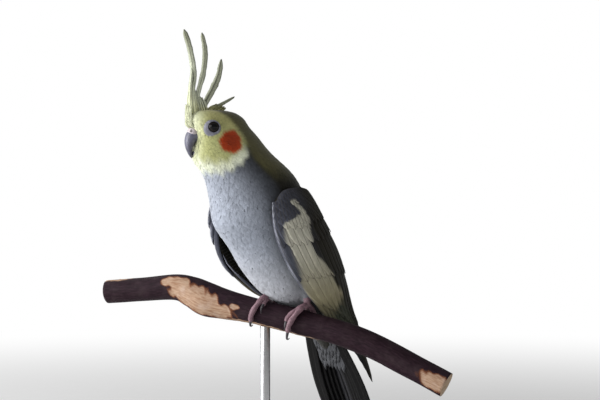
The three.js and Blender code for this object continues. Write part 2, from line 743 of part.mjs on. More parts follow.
function footSolid(foot) {
  const claws = union(foot.toes.map((toe) => clawSolid(foot, toe, GAP)));
  return union(foot.toes.map((toe) => toeSolid(foot, toe))).subtract(claws);
}

// Stand

const ROD_RADIUS = 3;
const ROD_ALONG = -6; // where the rod meets the branch, from between the feet
const ROD_SUNK = 6; // its length past the branch's underside, before it is cut off at the bark

function standBase() {
  const outline = new THREE.Shape();
  outline.absellipse(0, 0, BASE_WIDE / 2, BASE_LONG / 2, 0, 2 * Math.PI);
  const slab = new THREE.ExtrudeGeometry(outline, {
    depth: BASE_THICK - 2,
    curveSegments: 20,
    bevelEnabled: true,
    bevelThickness: 1,
    bevelSize: 1,
    bevelSegments: 1,
  });
  slab.translate(0, 0, 1);
  return solidOf(slab);
}

function standRod(branchClear) {
  const foot = branchPoint(branchShare(ROD_ALONG), 180, 0).add(bird.position);
  const rod = new THREE.CylinderGeometry(ROD_RADIUS, ROD_RADIUS, foot.z + ROD_SUNK - BASE_THICK - GAP, 20);
  rod.rotateX(Math.PI / 2);
  rod.translate(foot.x, foot.y, (foot.z + ROD_SUNK + BASE_THICK + GAP) / 2);
  return solidOf(rod).subtract(branchClear.translate(bird.position.toArray()));
}

// The whole

const bird = new THREE.Group();
bird.position.set(0, PERCH_BACK, PERCH_HEIGHT);

const BRANCH_AROUND = 14;
const BRANCH_ALONG = 25;
const BODY_AROUND = 28;
const BODY_ALONG = 32;
const feathered = bodySolid(BODY_AROUND, BODY_ALONG);
const bodyClear = bodySolid(BODY_AROUND, BODY_ALONG, GAP);
const branchClear = branchSolid(BRANCH_AROUND, BRANCH_ALONG, GAP);

// Cuts that part the feathered body: a point of each and how far it leans forward
const NECK_CUT = { y: -25, z: 84, lean: 38 };
const HEAD_CUT = { y: -37.5, z: 95.5, lean: 36 };

// A direction at height z, turned as far as the neck is there.
function turnedWay(way, z) {
  const turn = rad(HEAD_TURN) * smoothstep(z, NECK_LOW, NECK_HIGH);
  return way.applyAxisAngle(vec(0, 0, 1), turn);
}

// The part of a solid above (side 1) or below (side -1) a leaning cut, half the clearance away from it.
function cutAt(solid, { y, z, lean }, side) {
  const normal = turnedWay(vec(0, -Math.sin(rad(lean)), Math.cos(rad(lean))).multiplyScalar(side), z);
  const point = turnNeck(vec(0, y, z));
  return solid.trimByPlane(normal.toArray(), point.dot(normal) + GAP / 2);
}

const eyesClear = eyeSolid(1, GAP).add(eyeSolid(-1, GAP));
const upperBill = upperBillSolid();
const lowerBill = bowedSolid(LOWER_BILL, 10, 6);
const upperClear = swollen(bowedSolid(UPPER_BILL, 12, 12)).add(swollen(cereSolid()));

const feet = Object.entries(FEET).map(([name, foot]) => {
  const ankle = branchPoint(branchShare(foot.ankle), 0, ANKLE_OUT);
  const leg = legSolid(foot);
  const shank = leg.trimByPlane([0, 0, -1], -(ankle.z - GAP / 2));
  return {
    name,
    foot,
    leg: leg.trimByPlane([0, 0, 1], ankle.z + GAP / 2).subtract(footClear(foot)),
    toes: footSolid(foot).add(shank).subtract(branchClear),
  };
});
const legsClear = union(Object.values(FEET).map((foot) => legSolid(foot, GAP).add(footClear(foot))));

const torso = cutAt(feathered, NECK_CUT, -1).subtract(branchClear).subtract(legsClear);
const neck = cutAt(cutAt(feathered, NECK_CUT, 1), HEAD_CUT, -1);
const head = cutAt(feathered, HEAD_CUT, 1)
  .add(lidSolid(1))
  .add(lidSolid(-1))
  .subtract(upperClear)
  .subtract(swollen(lowerBill))
  .subtract(eyesClear)
  .subtract(swollen(crestRoot()));
const tail = largest(tailSolid().subtract(bodyClear));
const wing = largest(wingSolid().subtract(bodyClear).subtract(tailClear()));

const GREY = 0x8e9097;
const DARK_GREY = 0x4b4d52;
const YELLOW = 0xd9d58a;
const HORN = 0x6f6e7c;
const SKIN = 0xb08f93;

bird.add(meshOf("torso", torso, GREY));
bird.add(meshOf("neck", neck, GREY));
bird.add(meshOf("head", head, YELLOW));
bird.add(meshOf("crest", crestRoot().add(crestFeathers().subtract(bodyClear)), YELLOW));
bird.add(meshOf("bill_upper", upperBill, HORN, 0.4));
bird.add(meshOf("bill_lower", lowerBill.subtract(upperClear), HORN, 0.4));
bird.add(meshOf("eye_left", eyeSolid(1), 0x0c0b0c, 0.1));
bird.add(meshOf("eye_right", eyeSolid(-1), 0x0c0b0c, 0.1));
bird.add(meshOf("wing_left", wing, DARK_GREY));
bird.add(meshOf("wing_right", mirrorX(wing), DARK_GREY));
bird.add(meshOf("tail", tail, 0x26262a));
for (const { name, foot, leg, toes } of feet) {
  bird.add(meshOf("leg_" + name, leg, GREY));
  bird.add(meshOf("foot_" + name, toes, SKIN));
  for (const toe of foot.toes) {
    bird.add(meshOf("claw_" + name + "_" + toe.toe, clawSolid(foot, toe), 0x35343a, 0.4));
  }
}
bird.add(meshOf("perch_branch", branchSolid(BRANCH_AROUND, BRANCH_ALONG), 0x2e1d26, 0.6));

const part = new THREE.Group();
part.add(bird);
part.add(meshOf("stand_base", standBase(), 0x26282b, 0.5));
part.add(meshOf("stand_rod", standRod(branchClear), 0xb9bcc0, 0.3));

export default part;
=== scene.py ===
"""Feathers, bare parts, perch, stand and stage of a life-size cockatiel.

The working unit is the millimetre, from the point of the branch between the feet. Finished meshes are in
metres."""

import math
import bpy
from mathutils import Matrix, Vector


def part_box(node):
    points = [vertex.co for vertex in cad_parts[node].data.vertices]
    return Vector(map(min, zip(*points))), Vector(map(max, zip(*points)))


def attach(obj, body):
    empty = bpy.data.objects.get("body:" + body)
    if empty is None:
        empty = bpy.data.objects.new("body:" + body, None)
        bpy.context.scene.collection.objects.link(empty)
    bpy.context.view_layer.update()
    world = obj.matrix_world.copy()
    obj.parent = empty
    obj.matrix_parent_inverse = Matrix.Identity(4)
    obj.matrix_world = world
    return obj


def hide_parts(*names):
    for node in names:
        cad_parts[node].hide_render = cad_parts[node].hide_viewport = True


bl_info = {
    "name": "Cockatiel on a Perch",
    "version": (1, 0, 0),
    "blender": (4, 5, 0),
    "location": "View3D > Sidebar > Cockatiel",
    "description": "Builds the plumage, bare parts, perch and stage of a life-size cockatiel",
    "category": "Add Mesh",
}

import bmesh
import bpy
import numpy as np
from bpy.props import FloatProperty, FloatVectorProperty, IntProperty, PointerProperty
from mathutils import Matrix, Vector, noise
from mathutils.bvhtree import BVHTree
from mathutils.kdtree import KDTree

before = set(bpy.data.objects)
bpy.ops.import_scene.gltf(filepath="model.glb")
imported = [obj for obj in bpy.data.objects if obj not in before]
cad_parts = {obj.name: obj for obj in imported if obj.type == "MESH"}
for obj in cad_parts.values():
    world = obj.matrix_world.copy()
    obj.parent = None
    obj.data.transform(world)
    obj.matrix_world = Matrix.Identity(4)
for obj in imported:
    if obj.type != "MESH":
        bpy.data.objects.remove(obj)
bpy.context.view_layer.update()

MM = 0.001
PERCH = np.array((0.0, -12.0, 146.0))
BODY_NAME = "root"
UP = np.array((0, 0, 1))
LEFT = np.array((1, 0, 0))
SIDES = (("left", 1), ("right", -1))
STEP = 0.01  # how far before and behind a place its direction is read, as a share of the curve


# Numbers and curves


def mix(a, b, share):
    return a + (b - a) * share


def smoothstep(x, low, high):
    x = np.clip((x - low) / (high - low), 0, 1)
    return x * x * (3 - 2 * x)


def unit(v):
    return v / np.maximum(np.linalg.norm(v, axis=-1, keepdims=True), 1e-9)


def spline(rows, share):
    """A smooth curve through rows of values, read at shares from 0 to 1."""
    rows = np.asarray(rows, float)
    share = np.asarray(share, float)
    spans = len(rows) - 1
    place = np.clip(share, 0, 1) * spans
    i = np.minimum(place.astype(int), spans - 1)
    x = (place - i)[..., None]
    padded = np.vstack([2 * rows[0] - rows[1], rows, 2 * rows[-1] - rows[-2]])
    before, here, there, after = padded[i], padded[i + 1], padded[i + 2], padded[i + 3]
    out = (there - before) / 2
    into = (after - here) / 2
    return (
        here
        + out * x
        + (3 * (there - here) - 2 * out - into) * x**2
        + (2 * (here - there) + out + into) * x**3
    )


def metres(points):
    return (np.asarray(points) + PERCH) * MM


# The bird's lines, as its solids have them

HEAD_TURN = math.radians(-22)
NECK_AXIS_Y = -34
NECK_LOW = 74
NECK_HIGH = 96

# From the under-tail to the crown: y, z, lean forward in degrees, half width, and the reach to the front and
# to the back
BODY = np.array([
    (44, -29, 27, 0, 0, 0),
    (37.5, -14, 27, 8.5, 4, 3),
    (29, 2, 27, 15, 9.5, 8),
    (17, 22, 27, 21, 23.8, 22),
    (5, 38, 27, 23.2, 28.6, 26),
    (-4, 54, 27, 24.6, 31, 27),
    (-13, 70, 30, 25.2, 34.2, 23),
    (-25, 84, 38, 20.5, 27, 18.6),
    (-35.5, 94, 38, 16.5, 20, 20),
    (-42, 101, 30, 14.5, 18.4, 20.5),
    (-45, 108.5, 18, 12.6, 12.6, 19.6),
    (-46, 115, 5, 10.6, 15, 18),
    (-46, 119.6, 0, 7, 12, 12.5),
    (-46, 121.4, 0, 0, 0, 0),
], float)
BODY_STATIONS = 241
NEARER = 0.02  # how much a near cross section is preferred where two of them would fit


def turn_neck(points, back=False):
    """Turns points of the head or neck about the upright neck axis, more the higher they lie, or back."""
    points = np.asarray(points, float)
    turn = HEAD_TURN * smoothstep(points[..., 2], NECK_LOW, NECK_HIGH) * (-1 if back else 1)
    x = points[..., 0]
    y = points[..., 1] - NECK_AXIS_Y
    return np.stack([
        x * np.cos(turn) - y * np.sin(turn),
        NECK_AXIS_Y + x * np.sin(turn) + y * np.cos(turn),
        points[..., 2],
    ], -1)


def body_point(s, a):
    """A point of the feathered body, at s from the under-tail to the crown and a round it from the front."""
    y, z, lean, wide, front, back = np.moveaxis(spline(BODY, s), -1, 0)
    lean = np.radians(lean)
    reach = np.where(np.cos(a) > 0, np.maximum(front, 0), np.maximum(back, 0))
    behind = -np.cos(a) * reach
    x = np.sin(a) * np.maximum(wide, 0)
    return turn_neck(np.stack([x, y + behind * np.cos(lean), z + behind * np.sin(lean)], -1))


def body_place(points):
    """The reverse of body_point, for points near the body: s and a."""
    points = turn_neck(points, back=True)
    stations = np.linspace(0, 1, BODY_STATIONS)
    y, z, lean, wide, front, back = np.moveaxis(spline(BODY, stations), -1, 0)
    lean = np.radians(lean)
    off = np.abs(
        (points[:, None, 1] - y) * -np.sin(lean) + (points[:, None, 2] - z) * np.cos(lean)
    )
    far = np.hypot(points[:, None, 1] - y, points[:, None, 2] - z)
    best = np.argmin(off + NEARER * far, axis=1)
    behind = (points[:, 1] - y[best]) * np.cos(lean[best]) + (points[:, 2] - z[best]) * np.sin(lean[best])
    return stations[best], np.arctan2(points[:, 0], -behind)


# The folded left wing's inner face: front edge, outermost line and back edge, from the bend to the tip
WING = np.array([
    ((21.5, -20, 73), (23, -11, 76), (16, 1, 76)),
    ((26, -26.5, 63), (27.5, -6.5, 66), (7, 15.5, 68)),
    ((27.7, -25, 48), (29.5, 1, 52), (3, 27.5, 55)),
    ((29, -16, 30), (28.5, 12.5, 36), (3, 39, 39)),
    ((26.5, 0.5, 14), (24.5, 26, 19), (3.5, 49.5, 21)),
    ((21, 21.2, -1), (19, 39, 1), (6, 55, 4)),
    ((17.5, 43.5, -21), (17, 53, -20), (10, 62, -18)),
    ((15.5, 55, -40), (16.5, 62.5, -42), (13, 69.5, -41.5)),
], float)
WING_THICK = 6.5
WING_TIP_THICK = 1.6
WING_EDGE_SHARE = 0.75


def wing_skin(t, w):
    """A point of the wing's inner face: t from the bend to the tip, w from the front edge to the back."""
    front, mid, back = (spline(WING[:, line], t) for line in range(3))
    w = np.asarray(w)[..., None]
    return front * (1 - w) * (1 - 2 * w) + mid * 4 * w * (1 - w) + back * w * (2 * w - 1)


def wing_normal(t, w):
    along = wing_skin(np.minimum(t + STEP, 1), w) - wing_skin(np.maximum(t - STEP, 0), w)
    across = wing_skin(t, np.minimum(w + STEP, 1)) - wing_skin(t, np.maximum(w - STEP, 0))
    return unit(np.cross(along, across))


def wing_thick(t, w):
    middle = mix(WING_THICK, WING_TIP_THICK, smoothstep(t, 0.3, 0.8))
    return middle * mix(1, WING_EDGE_SHARE, np.clip((2 * w - 1) ** 2, 0, 1))


def wing_point(t, w, depth):
    """A point at a depth under the folded wing's outer surface."""
    return wing_skin(t, w) + wing_normal(t, w) * (wing_thick(t, w) - depth)[..., None]


TAIL_ROOT = np.array((0, 29.7, 6))
TAIL_TIP = np.array((0, 93.8, -132))
TAIL_WAY = TAIL_TIP - TAIL_ROOT
TAIL_UP = unit(np.array((0, -TAIL_WAY[2], TAIL_WAY[1])))


def tail_point(along, x, up):
    """A point of the tail's fan: how far down it, how far to the left, and how high over its middle level."""
    along, x, up = np.broadcast_arrays(along, x, up)
    return (
        TAIL_ROOT
        + TAIL_WAY * along[..., None]
        + LEFT * x[..., None]
        + TAIL_UP * up[..., None]
    )


BRANCH_TURN = math.radians(28)
BRANCH_WAY = np.array((math.cos(BRANCH_TURN), math.sin(BRANCH_TURN), 0))
BRANCH_FRONT = np.array((BRANCH_WAY[1], -BRANCH_WAY[0], 0))
# How far along the branch from between the feet, its height and its radius there
BRANCH = np.array([
    (-112, 12.3, 7.3),
    (-88, 14.3, 7.3),
    (-66, 16, 7.9),
    (-55, 13.4, 9.2),
    (-45, 9.2, 10),
    (-34, 6.6, 9),
    (-17, 3.4, 7.8),
    (0, 0, 7.7),
    (15, -3.2, 7.7),
    (38, -8.3, 7.5),
    (58, -14.7, 7.4),
    (75, -22.4, 7.4),
    (103, -36, 7.3),
], float)
BRANCH_STATIONS = 2001


def branch_share(along):
    stations = np.linspace(0, 1, BRANCH_STATIONS)
    return np.interp(along, spline(BRANCH, stations)[:, 0], stations)


def branch_point(share, angle, out=0.0):
    """A point that far out of the bark, with the angle from the top towards the bird's front in degrees."""
    share = np.asarray(share, float)
    along, height, radius = np.moveaxis(spline(BRANCH, share), -1, 0)
    run = spline(BRANCH, share + STEP) - spline(BRANCH, share - STEP)
    way = unit(BRANCH_WAY * run[..., 0:1] + UP * run[..., 1:2])
    up = unit(np.cross(way, BRANCH_FRONT))
    up = np.where(up[..., 2:3] < 0, -up, up)
    a = np.radians(angle)
    reach = (radius + out)[..., None]
    return (
        BRANCH_WAY * along[..., None]
        + UP * height[..., None]
        + up * np.cos(a)[..., None] * reach
        + BRANCH_FRONT * np.sin(a)[..., None] * reach
    )


EYE = np.array((9.3, -48.2, 110.4))
EYE_RADIUS = 3.9
EYE_TOE_IN = math.radians(12)
EYE_BARE = EYE + (0, -1.1, -1.1)
EYE_BARE_RADIUS = 4.8
BILL_BARE = np.array((0, -60.5, 103.5))
BILL_BARE_RADIUS = 5.2
BILL_BARE_SHAPE = (0.9, 1, 1.35)
BILL_BASE = np.array((0, -56, 104))
CHEEK = np.array((13.5, -39.6, 102.1))
CHEEK_RADIUS = 6.8

# The ankle's place along the branch, the knee, and each toe's spread, end angle, half thickness and lift
FEET = {
    "left": {
        "ankle": 16.4,
        "knee": (15, 9, 29),
        "toes": {1: (-3, -92, 1.3, 0), 2: (-7, 92, 1.4, 0), 3: (-5, 126, 1.6, 2.2), 4: (6, -118, 1.5, 0)},
    },
    "right": {
        "ankle": -8,
        "knee": (-12, 1, 33),
        "toes": {1: (4.6, -90, 1.3, 0), 2: (1, 52, 1.4, 0), 3: (-4.6, 124, 1.6, 0), 4: (-2.6, -122, 1.5, 0)},
    },
}
ANKLE_OUT = 4.6  # how far the ankle stands off the bark
ANKLE_RADIUS = 1.9
THIGH_RADIUS = 6.6
CLAW_TURN = 34  # the angle round the branch that a claw takes
CLAW_ROOT = 5  # and how far its horn reaches back over the toe, in degrees too
TOUCH_GAP = 0.32
TOE_PRESS = 0.96  # a toe's under side is a little flatter than the toe is wide


def toe_point(foot, toe, t):
    """The middle line of a toe and its claw round the branch: t is 0 at the ankle and 1 at the toe's end."""
    spread, end, thick, lift = toe
    t = np.asarray(t, float)
    share = branch_share(foot["ankle"] + spread * smoothstep(t, 0, 0.9))
    angle = end * np.minimum(t, 1) + math.copysign(CLAW_TURN, end) * np.maximum(t - 1, 0)
    rest = TOUCH_GAP + thick * TOE_PRESS + lift * smoothstep(t, 0.5, 1.4)
    return branch_point(share, angle, mix(ANKLE_OUT - 1, rest, smoothstep(t, 0.12, 0.62)))


def leg_line(foot):
    """The middle line of a leg from the branch through the ankle to the knee."""
    share = branch_share(foot["ankle"])
    low = branch_point(share, 0, 2)
    ankle = branch_point(share, 0, ANKLE_OUT)
    knee = np.array(foot["knee"], float)
    return np.array([low, ankle, mix(ankle, knee, 0.35), knee])


# Settings


def colour(name, description, default):
    return FloatVectorProperty(
        name=name, description=description, default=default, subtype="COLOR", min=0, max=1, size=3
    )


def length(name, description, default):
    return FloatProperty(
        name=name, description=description, default=default, min=0, subtype="DISTANCE", unit="LENGTH"
    )


class CockatielPlumage(bpy.types.PropertyGroup):
    """The plumage's colours and the coat's sizes."""

    breast: colour("Breast", "Blue grey of the breast", (0.34, 0.37, 0.435))
    belly: colour("Belly", "Paler grey of the belly", (0.50, 0.515, 0.56))
    face: colour("Face", "Lemon yellow of the face", (0.44, 0.45, 0.195))
    crown: colour("Crown", "Olive yellow of the crown", (0.42, 0.405, 0.17))
    collar: colour("Collar", "Greenish white between the face and the breast", (0.72, 0.75, 0.58))
    nape: colour("Nape", "Olive brown of the nape", (0.085, 0.079, 0.033))
    # far darker than the back's own grey: painted shade on the back, which is turned from the light
    shaded_mantle: colour("Mantle", "Dark brown grey of the back", (0.011, 0.010, 0.0055))
    cheek: colour("Ear patch", "Brick orange of the ear patch", (0.33, 0.038, 0.007))
    shoulder: colour("Shoulder", "Charcoal blue grey of the wing's shoulder", (0.043, 0.045, 0.058))
    strip: colour("Wing edge", "Dark strip along the wing's front edge", (0.07, 0.074, 0.095))
    patch: colour("Wing patch", "Cream white of the wing patch", (0.46, 0.445, 0.37))
    flight: colour("Flight feathers", "Green black of the flight feathers", (0.012, 0.0105, 0.006))
    tail_top: colour("Tail, above", "Grey of the middle tail feathers", (0.03, 0.03, 0.033))
    tail_under: colour("Tail, below", "Near black of the tail's underside", (0.006, 0.0058, 0.006))
    crest_pale: colour("Crest", "Pale yellow grey of the crest", (0.56, 0.59, 0.46))
    crest_dark: colour("Crest shafts", "Olive grey of the crest's shafts", (0.16, 0.165, 0.10))
    body_depth: length("Body coat", "Depth of the body feathers over the skin", 0.0010)
    head_depth: length("Head coat", "Depth of the head feathers over the skin", 0.0005)
    body_spacing: length("Body spacing", "Distance between body feathers", 0.0015)
    head_spacing: length("Head spacing", "Distance between head feathers", 0.00084)
    seed: IntProperty(name="Seed", description="Seed of the feathers' small differences", default=5, min=0)


class CockatielBareParts(bpy.types.PropertyGroup):
    """The colours of what has no feathers."""

    bill: colour("Bill", "Grey horn of the bill", (0.078, 0.078, 0.112))
    cere: colour("Cere", "Pinkish skin over the nostrils", (0.62, 0.55, 0.57))
    ring: colour("Eye ring", "Lilac grey bare skin round the eye", (0.26, 0.26, 0.32))
    iris: colour("Iris", "Dark brown of the iris", (0.007, 0.005, 0.0045))
    toes: colour("Toes", "Pinkish grey skin of the toes", (0.30, 0.17, 0.205))
    claws: colour("Claws", "Dark horn of the claws", (0.035, 0.03, 0.034))


class CockatielPerch(bpy.types.PropertyGroup):
    """The branch and the display stand."""

    bark: colour("Bark", "Dark purple brown of the bark", (0.017, 0.009, 0.0125))
    wood: colour("Bare wood", "Pale wood where the bark is chewed away", (0.50, 0.35, 0.25))
    coat: colour("Base coat", "Black powder coat of the base", (0.02, 0.02, 0.021))
    steel: colour("Rod", "Satin steel of the rod", (0.56, 0.56, 0.57))
    base_long: length("Base length", "Length of the oval base", 0.174)
    base_wide: length("Base width", "Width of the oval base", 0.138)
    base_thick: length("Base thickness", "Thickness of the oval base", 0.008)
    rod_radius: length("Rod radius", "Half thickness of the rod", 0.003)


class CockatielStage(bpy.types.PropertyGroup):
    """The floor, lights and camera."""

    floor: colour("Floor", "Pale floor", (0.86, 0.86, 0.86))
    azimuth: FloatProperty(
        name="Azimuth", description="Direction of the camera", default=math.radians(48), subtype="ANGLE"
    )
    lens: FloatProperty(name="Lens", description="Focal length in millimetres", default=85, min=10)
    key: FloatProperty(
        name="Key light", description="Power of the key light", default=14, min=0, unit="POWER"
    )
    fill: FloatProperty(
        name="Fill light", description="Power of the fill light", default=1.6, min=0, unit="POWER"
    )


# Markings, with painted shade and a painted highlight among them

# The white wing patch's edges towards the wing's front and its back: how far down the wing, and how far back
PATCH_FRONT = (
    (0.10, 0.19, 0.205, 0.22, 0.25, 0.32, 0.46, 0.535, 0.605, 0.69),
    (0.22, 0.275, 0.25, 0.12, 0.09, 0.075, 0.06, 0.03, 0.01, 0.0),
)
PATCH_BACK = (
    (0.10, 0.16, 0.215, 0.295, 0.37, 0.405, 0.46, 0.52, 0.58, 0.63, 0.69),
    (0.25, 0.34, 0.375, 0.32, 0.29, 0.33, 0.38, 0.42, 0.44, 0.56, 0.62),
)
PATCH_BLUR = 0.012
PATCH_LOW = (0.62, 0.57, 0.42)  # how the cream darkens to buff at the patch's lower end
WING_TIP_OLIVE = (0.05, 0.055, 0.038)
EDGE_HIGHLIGHT = (0.36, 0.37, 0.43)  # a pale line along the wing's front edge: painted highlight where the light catches that edge
EDGE_HIGHLIGHT_AT = 0.004
EDGE_HIGHLIGHT_WIDE = 0.008


def wing_marking(t, w, plumage):
    """The folded wing's colours: the dark shoulder and strip, the cream patch, the flight feathers and a
    painted highlight along the front edge.
    """
    front, back = np.interp(t, *PATCH_FRONT), np.interp(t, *PATCH_BACK)
    soft = PATCH_BLUR
    inside = smoothstep(w, front - soft, front + soft) * (1 - smoothstep(w, back - soft, back + soft))
    last = mix(0.71, 0.64, smoothstep(w, 0.1, 0.5))
    inside *= smoothstep(t, 0.11, 0.13) * (1 - smoothstep(t, last - 0.02, last + 0.02))
    shoulder = np.array(plumage.shoulder)
    dark = mix(np.array(plumage.strip), np.array(plumage.flight), smoothstep(w, 0.1, 0.45)[..., None])
    top = (1 - smoothstep(t, 0.1, 0.26)) * (1 - smoothstep(w, 0.25, 0.6))
    base = mix(dark, shoulder, top[..., None])
    tips = smoothstep(t, 0.64, 0.7) * (1 - smoothstep(t, 0.8, 0.9)) * (1 - smoothstep(w, 0.45, 0.7))
    base = mix(base, np.array(WING_TIP_OLIVE), tips[..., None])
    # painted highlight: a thin pale line along the front edge, fading down the wing
    edge = np.exp(-(((w - EDGE_HIGHLIGHT_AT) / EDGE_HIGHLIGHT_WIDE) ** 2)) * (1 - smoothstep(t, 0.5, 0.7))
    base = mix(base, np.array(EDGE_HIGHLIGHT), (edge * 0.85)[..., None])
    patch = np.array(plumage.patch)
    cream = mix(patch, patch * PATCH_LOW, smoothstep(t, 0.3, 0.66)[..., None])
    return mix(base, cream, inside[..., None])


# Where the face and breast end and the dark nape and back begin, the back in painted shade: heights, and how
# far back
NAPE_LINE = (
    (-20, 20, 54, 75, 80, 86, 92, 100, 106, 110, 114, 117, 120),
    (30, 17, -4, -17, -19, -22.5, -26, -29.5, -32, -34.5, -38, -41, -46),
)
# The face's lower border: how far back, and heights
CHIN_LINE = ((-56, -51, -43, -36, -32, -26), (87, 85.5, 85.5, 90, 94, 99))
BACK_SHADE = 0.16  # darkening towards the back: partly its own darker sides, partly painted shade away from the light
BROW_LIFT = (1.38, 1.38, 1.7)  # how much paler than the face the brow is: partly its own cream, partly painted light on the front-facing brow
LORE_LIFT = (0.96, 0.96, 0.98)  # and the feathers round the bill, measured by the collar
EYE_SKIN = (0.30, 0.30, 0.37)


def body_marking(points, plumage):
    """The colours of the head, neck and body at points of the turned bird, with painted shade on the back and
    towards it.
    """
    p = turn_neck(points, back=True)
    x, y, z = np.moveaxis(p, -1, 0)
    breast = np.array(plumage.breast)
    base = mix(breast, np.array(plumage.belly), smoothstep(-z, -48, -12)[..., None])
    behind = y - np.interp(z, *NAPE_LINE)
    # partly painted shade: the grey darkens towards the back, partly the breast's own darker sides
    base = base * mix(1, BACK_SHADE, smoothstep(behind, -28, -5))[..., None]
    # the back takes the dark mantle colour: painted shade over its own grey
    base = mix(base, np.array(plumage.shaded_mantle), smoothstep(behind, -7, 2)[..., None])
    chin = z - 0.8 * np.sin(x * 0.9 + y * 0.5) - 0.6 * np.sin(x * 2.1 - y * 1.3)
    border = np.interp(y, *CHIN_LINE)
    face = smoothstep(chin, border - 2.5, border + 2.0)
    base = mix(base, np.array(plumage.collar), (face * (1 - smoothstep(behind, -5, 0)))[..., None])
    top = smoothstep(z + 0.35 * y, 88, 101)
    yellow = mix(np.array(plumage.face), np.array(plumage.crown), top[..., None])
    brow = smoothstep(-y, 49, 57) * smoothstep(z, 100, 110)
    # partly painted light: the brow made paler than the face, partly its own cream
    yellow = mix(yellow, np.array(plumage.face) * BROW_LIFT, brow[..., None])
    lore = smoothstep(-y, 52, 61) * smoothstep(z, 84, 92)
    yellow = mix(yellow, np.array(plumage.collar) * LORE_LIFT, (lore * 0.75)[..., None])
    inner = smoothstep(chin, border + 2, border + 9)
    base = mix(base, yellow, inner[..., None])
    dark = smoothstep(behind, -3, 2) * smoothstep(z, 78, 92)
    base = mix(base, np.array(plumage.nape), dark[..., None])
    away = np.hypot(y - CHEEK[1], z - CHEEK[2])
    turn = np.arctan2(z - CHEEK[2], y - CHEEK[1])
    wander = 0.35 * np.sin(3 * turn + 1) + 0.25 * np.sin(7 * turn + 2.2) + 0.3 * np.sin(y * 3.3 + z * 2.1)
    cheek = (1 - smoothstep(away + wander, CHEEK_RADIUS - 1.7, CHEEK_RADIUS + 0.8)) * (np.abs(x) > 6)
    deep = np.array(plumage.cheek) * mix(0.8, 1.1, smoothstep(away, 1, 6))[..., None]
    base = mix(base, deep, cheek[..., None])
    ring = np.linalg.norm(np.stack([np.abs(x), y, z], -1) - EYE_BARE, axis=-1) - EYE_BARE_RADIUS
    bare = 1 - smoothstep(ring, -0.6, 0.1)
    return mix(base, np.array(EYE_SKIN), bare[..., None])


# Materials


def set_inputs(node, **values):
    """Sets a node's sockets, named with an underscore for each space."""
    for label, value in values.items():
        node.inputs[label.replace("_", " ")].default_value = value


class Nodes:
    """Adds and links nodes in one tree."""

    def __init__(self, tree):
        self.tree = tree

    def add(self, kind, **values):
        node = self.tree.nodes.new(kind)
        for name, value in values.items():
            setattr(node, name, value)
        return node

    def link(self, source, target):
        self.tree.links.new(source, target)

    def feed(self, value, socket):
        """Sets a socket to a number or a colour, or links what gives it."""
        if isinstance(value, bpy.types.NodeSocket):
            self.link(value, socket)
        elif isinstance(value, (int, float)):
            socket.default_value = value
        else:
            socket.default_value = (*value, 1)

    def math(self, operation, a, b=None, clamp=False):
        node = self.add("ShaderNodeMath", operation=operation, use_clamp=clamp)
        for socket, value in zip(node.inputs, (a, b)):
            if value is not None:
                self.feed(value, socket)
        return node.outputs[0]

    def blend(self, share, a, b, mode="MIX"):
        node = self.add("ShaderNodeMix", data_type="RGBA", blend_type=mode)
        for socket, value in zip((node.inputs[0], node.inputs[6], node.inputs[7]), (share, a, b)):
            self.feed(value, socket)
        return node.outputs[2]

    def noise(self, vector, scale, detail=4.0, rough=0.55):
        node = self.add("ShaderNodeTexNoise")
        set_inputs(node, Scale=scale, Detail=detail, Roughness=rough)
        self.link(vector, node.inputs["Vector"])
        return node.outputs["Fac"]

    def span(self, value, low, high, to_low=0.0, to_high=1.0):
        node = self.add("ShaderNodeMapRange", interpolation_type="SMOOTHSTEP")
        self.link(value, node.inputs["Value"])
        set_inputs(node, From_Min=low, From_Max=high, To_Min=to_low, To_Max=to_high)
        return node.outputs["Result"]


def new_group(name, inputs, outputs):
    """A node group with its sockets: itself, its nodes, what it is given and what it gives."""
    group = bpy.data.node_groups.new(name, "ShaderNodeTree")
    for label, kind, default in inputs:
        socket = group.interface.new_socket(label, in_out="INPUT", socket_type=kind)
        if default is not None:
            socket.default_value = default
    for label, kind in outputs:
        group.interface.new_socket(label, in_out="OUTPUT", socket_type=kind)
    nodes = Nodes(group)
    return group, nodes, nodes.add("NodeGroupInput").outputs, nodes.add("NodeGroupOutput").inputs


def barb_group():
    """Fine slanting barbs on both sides of a feather's shaft, in millimetres on the vane."""
    name = "Feather barbs"
    if name in bpy.data.node_groups:
        return bpy.data.node_groups[name]
    group, nodes, given, result = new_group(
        name,
        [
            ("Vane", "NodeSocketVector", None),
            ("Barbs per mm", "NodeSocketFloat", 3.0),
            ("Shaft width", "NodeSocketFloat", 0.3),
        ],
        [("Shade", "NodeSocketFloat"), ("Shaft", "NodeSocketFloat"), ("Height", "NodeSocketFloat")],
    )
    split = nodes.add("ShaderNodeSeparateXYZ")
    nodes.link(given["Vane"], split.inputs[0])
    away = nodes.math("ABSOLUTE", split.outputs["X"])
    slant = nodes.math("SUBTRACT", split.outputs["Y"], nodes.math("MULTIPLY", away, 1.3))
    join = nodes.add("ShaderNodeCombineXYZ")
    nodes.link(nodes.math("MULTIPLY", slant, given["Barbs per mm"]), join.inputs["X"])
    nodes.link(nodes.math("MULTIPLY", away, 0.25), join.inputs["Y"])
    nodes.link(split.outputs["Z"], join.inputs["Z"])
    barbs = nodes.noise(join.outputs[0], 1.0, 3.0, 0.6)
    wide = nodes.noise(join.outputs[0], 0.23, 2.0, 0.5)
    shaft = nodes.math(
        "SUBTRACT", 1.0, nodes.math("DIVIDE", away, given["Shaft width"]), clamp=True
    )
    shade = nodes.math("ADD", nodes.math("MULTIPLY", barbs, 0.6), nodes.math("MULTIPLY", wide, 0.4))
    nodes.link(shade, result["Shade"])
    nodes.link(shaft, result["Shaft"])
    nodes.link(nodes.math("ADD", nodes.math("MULTIPLY", shade, 0.5), shaft), result["Height"])
    return group


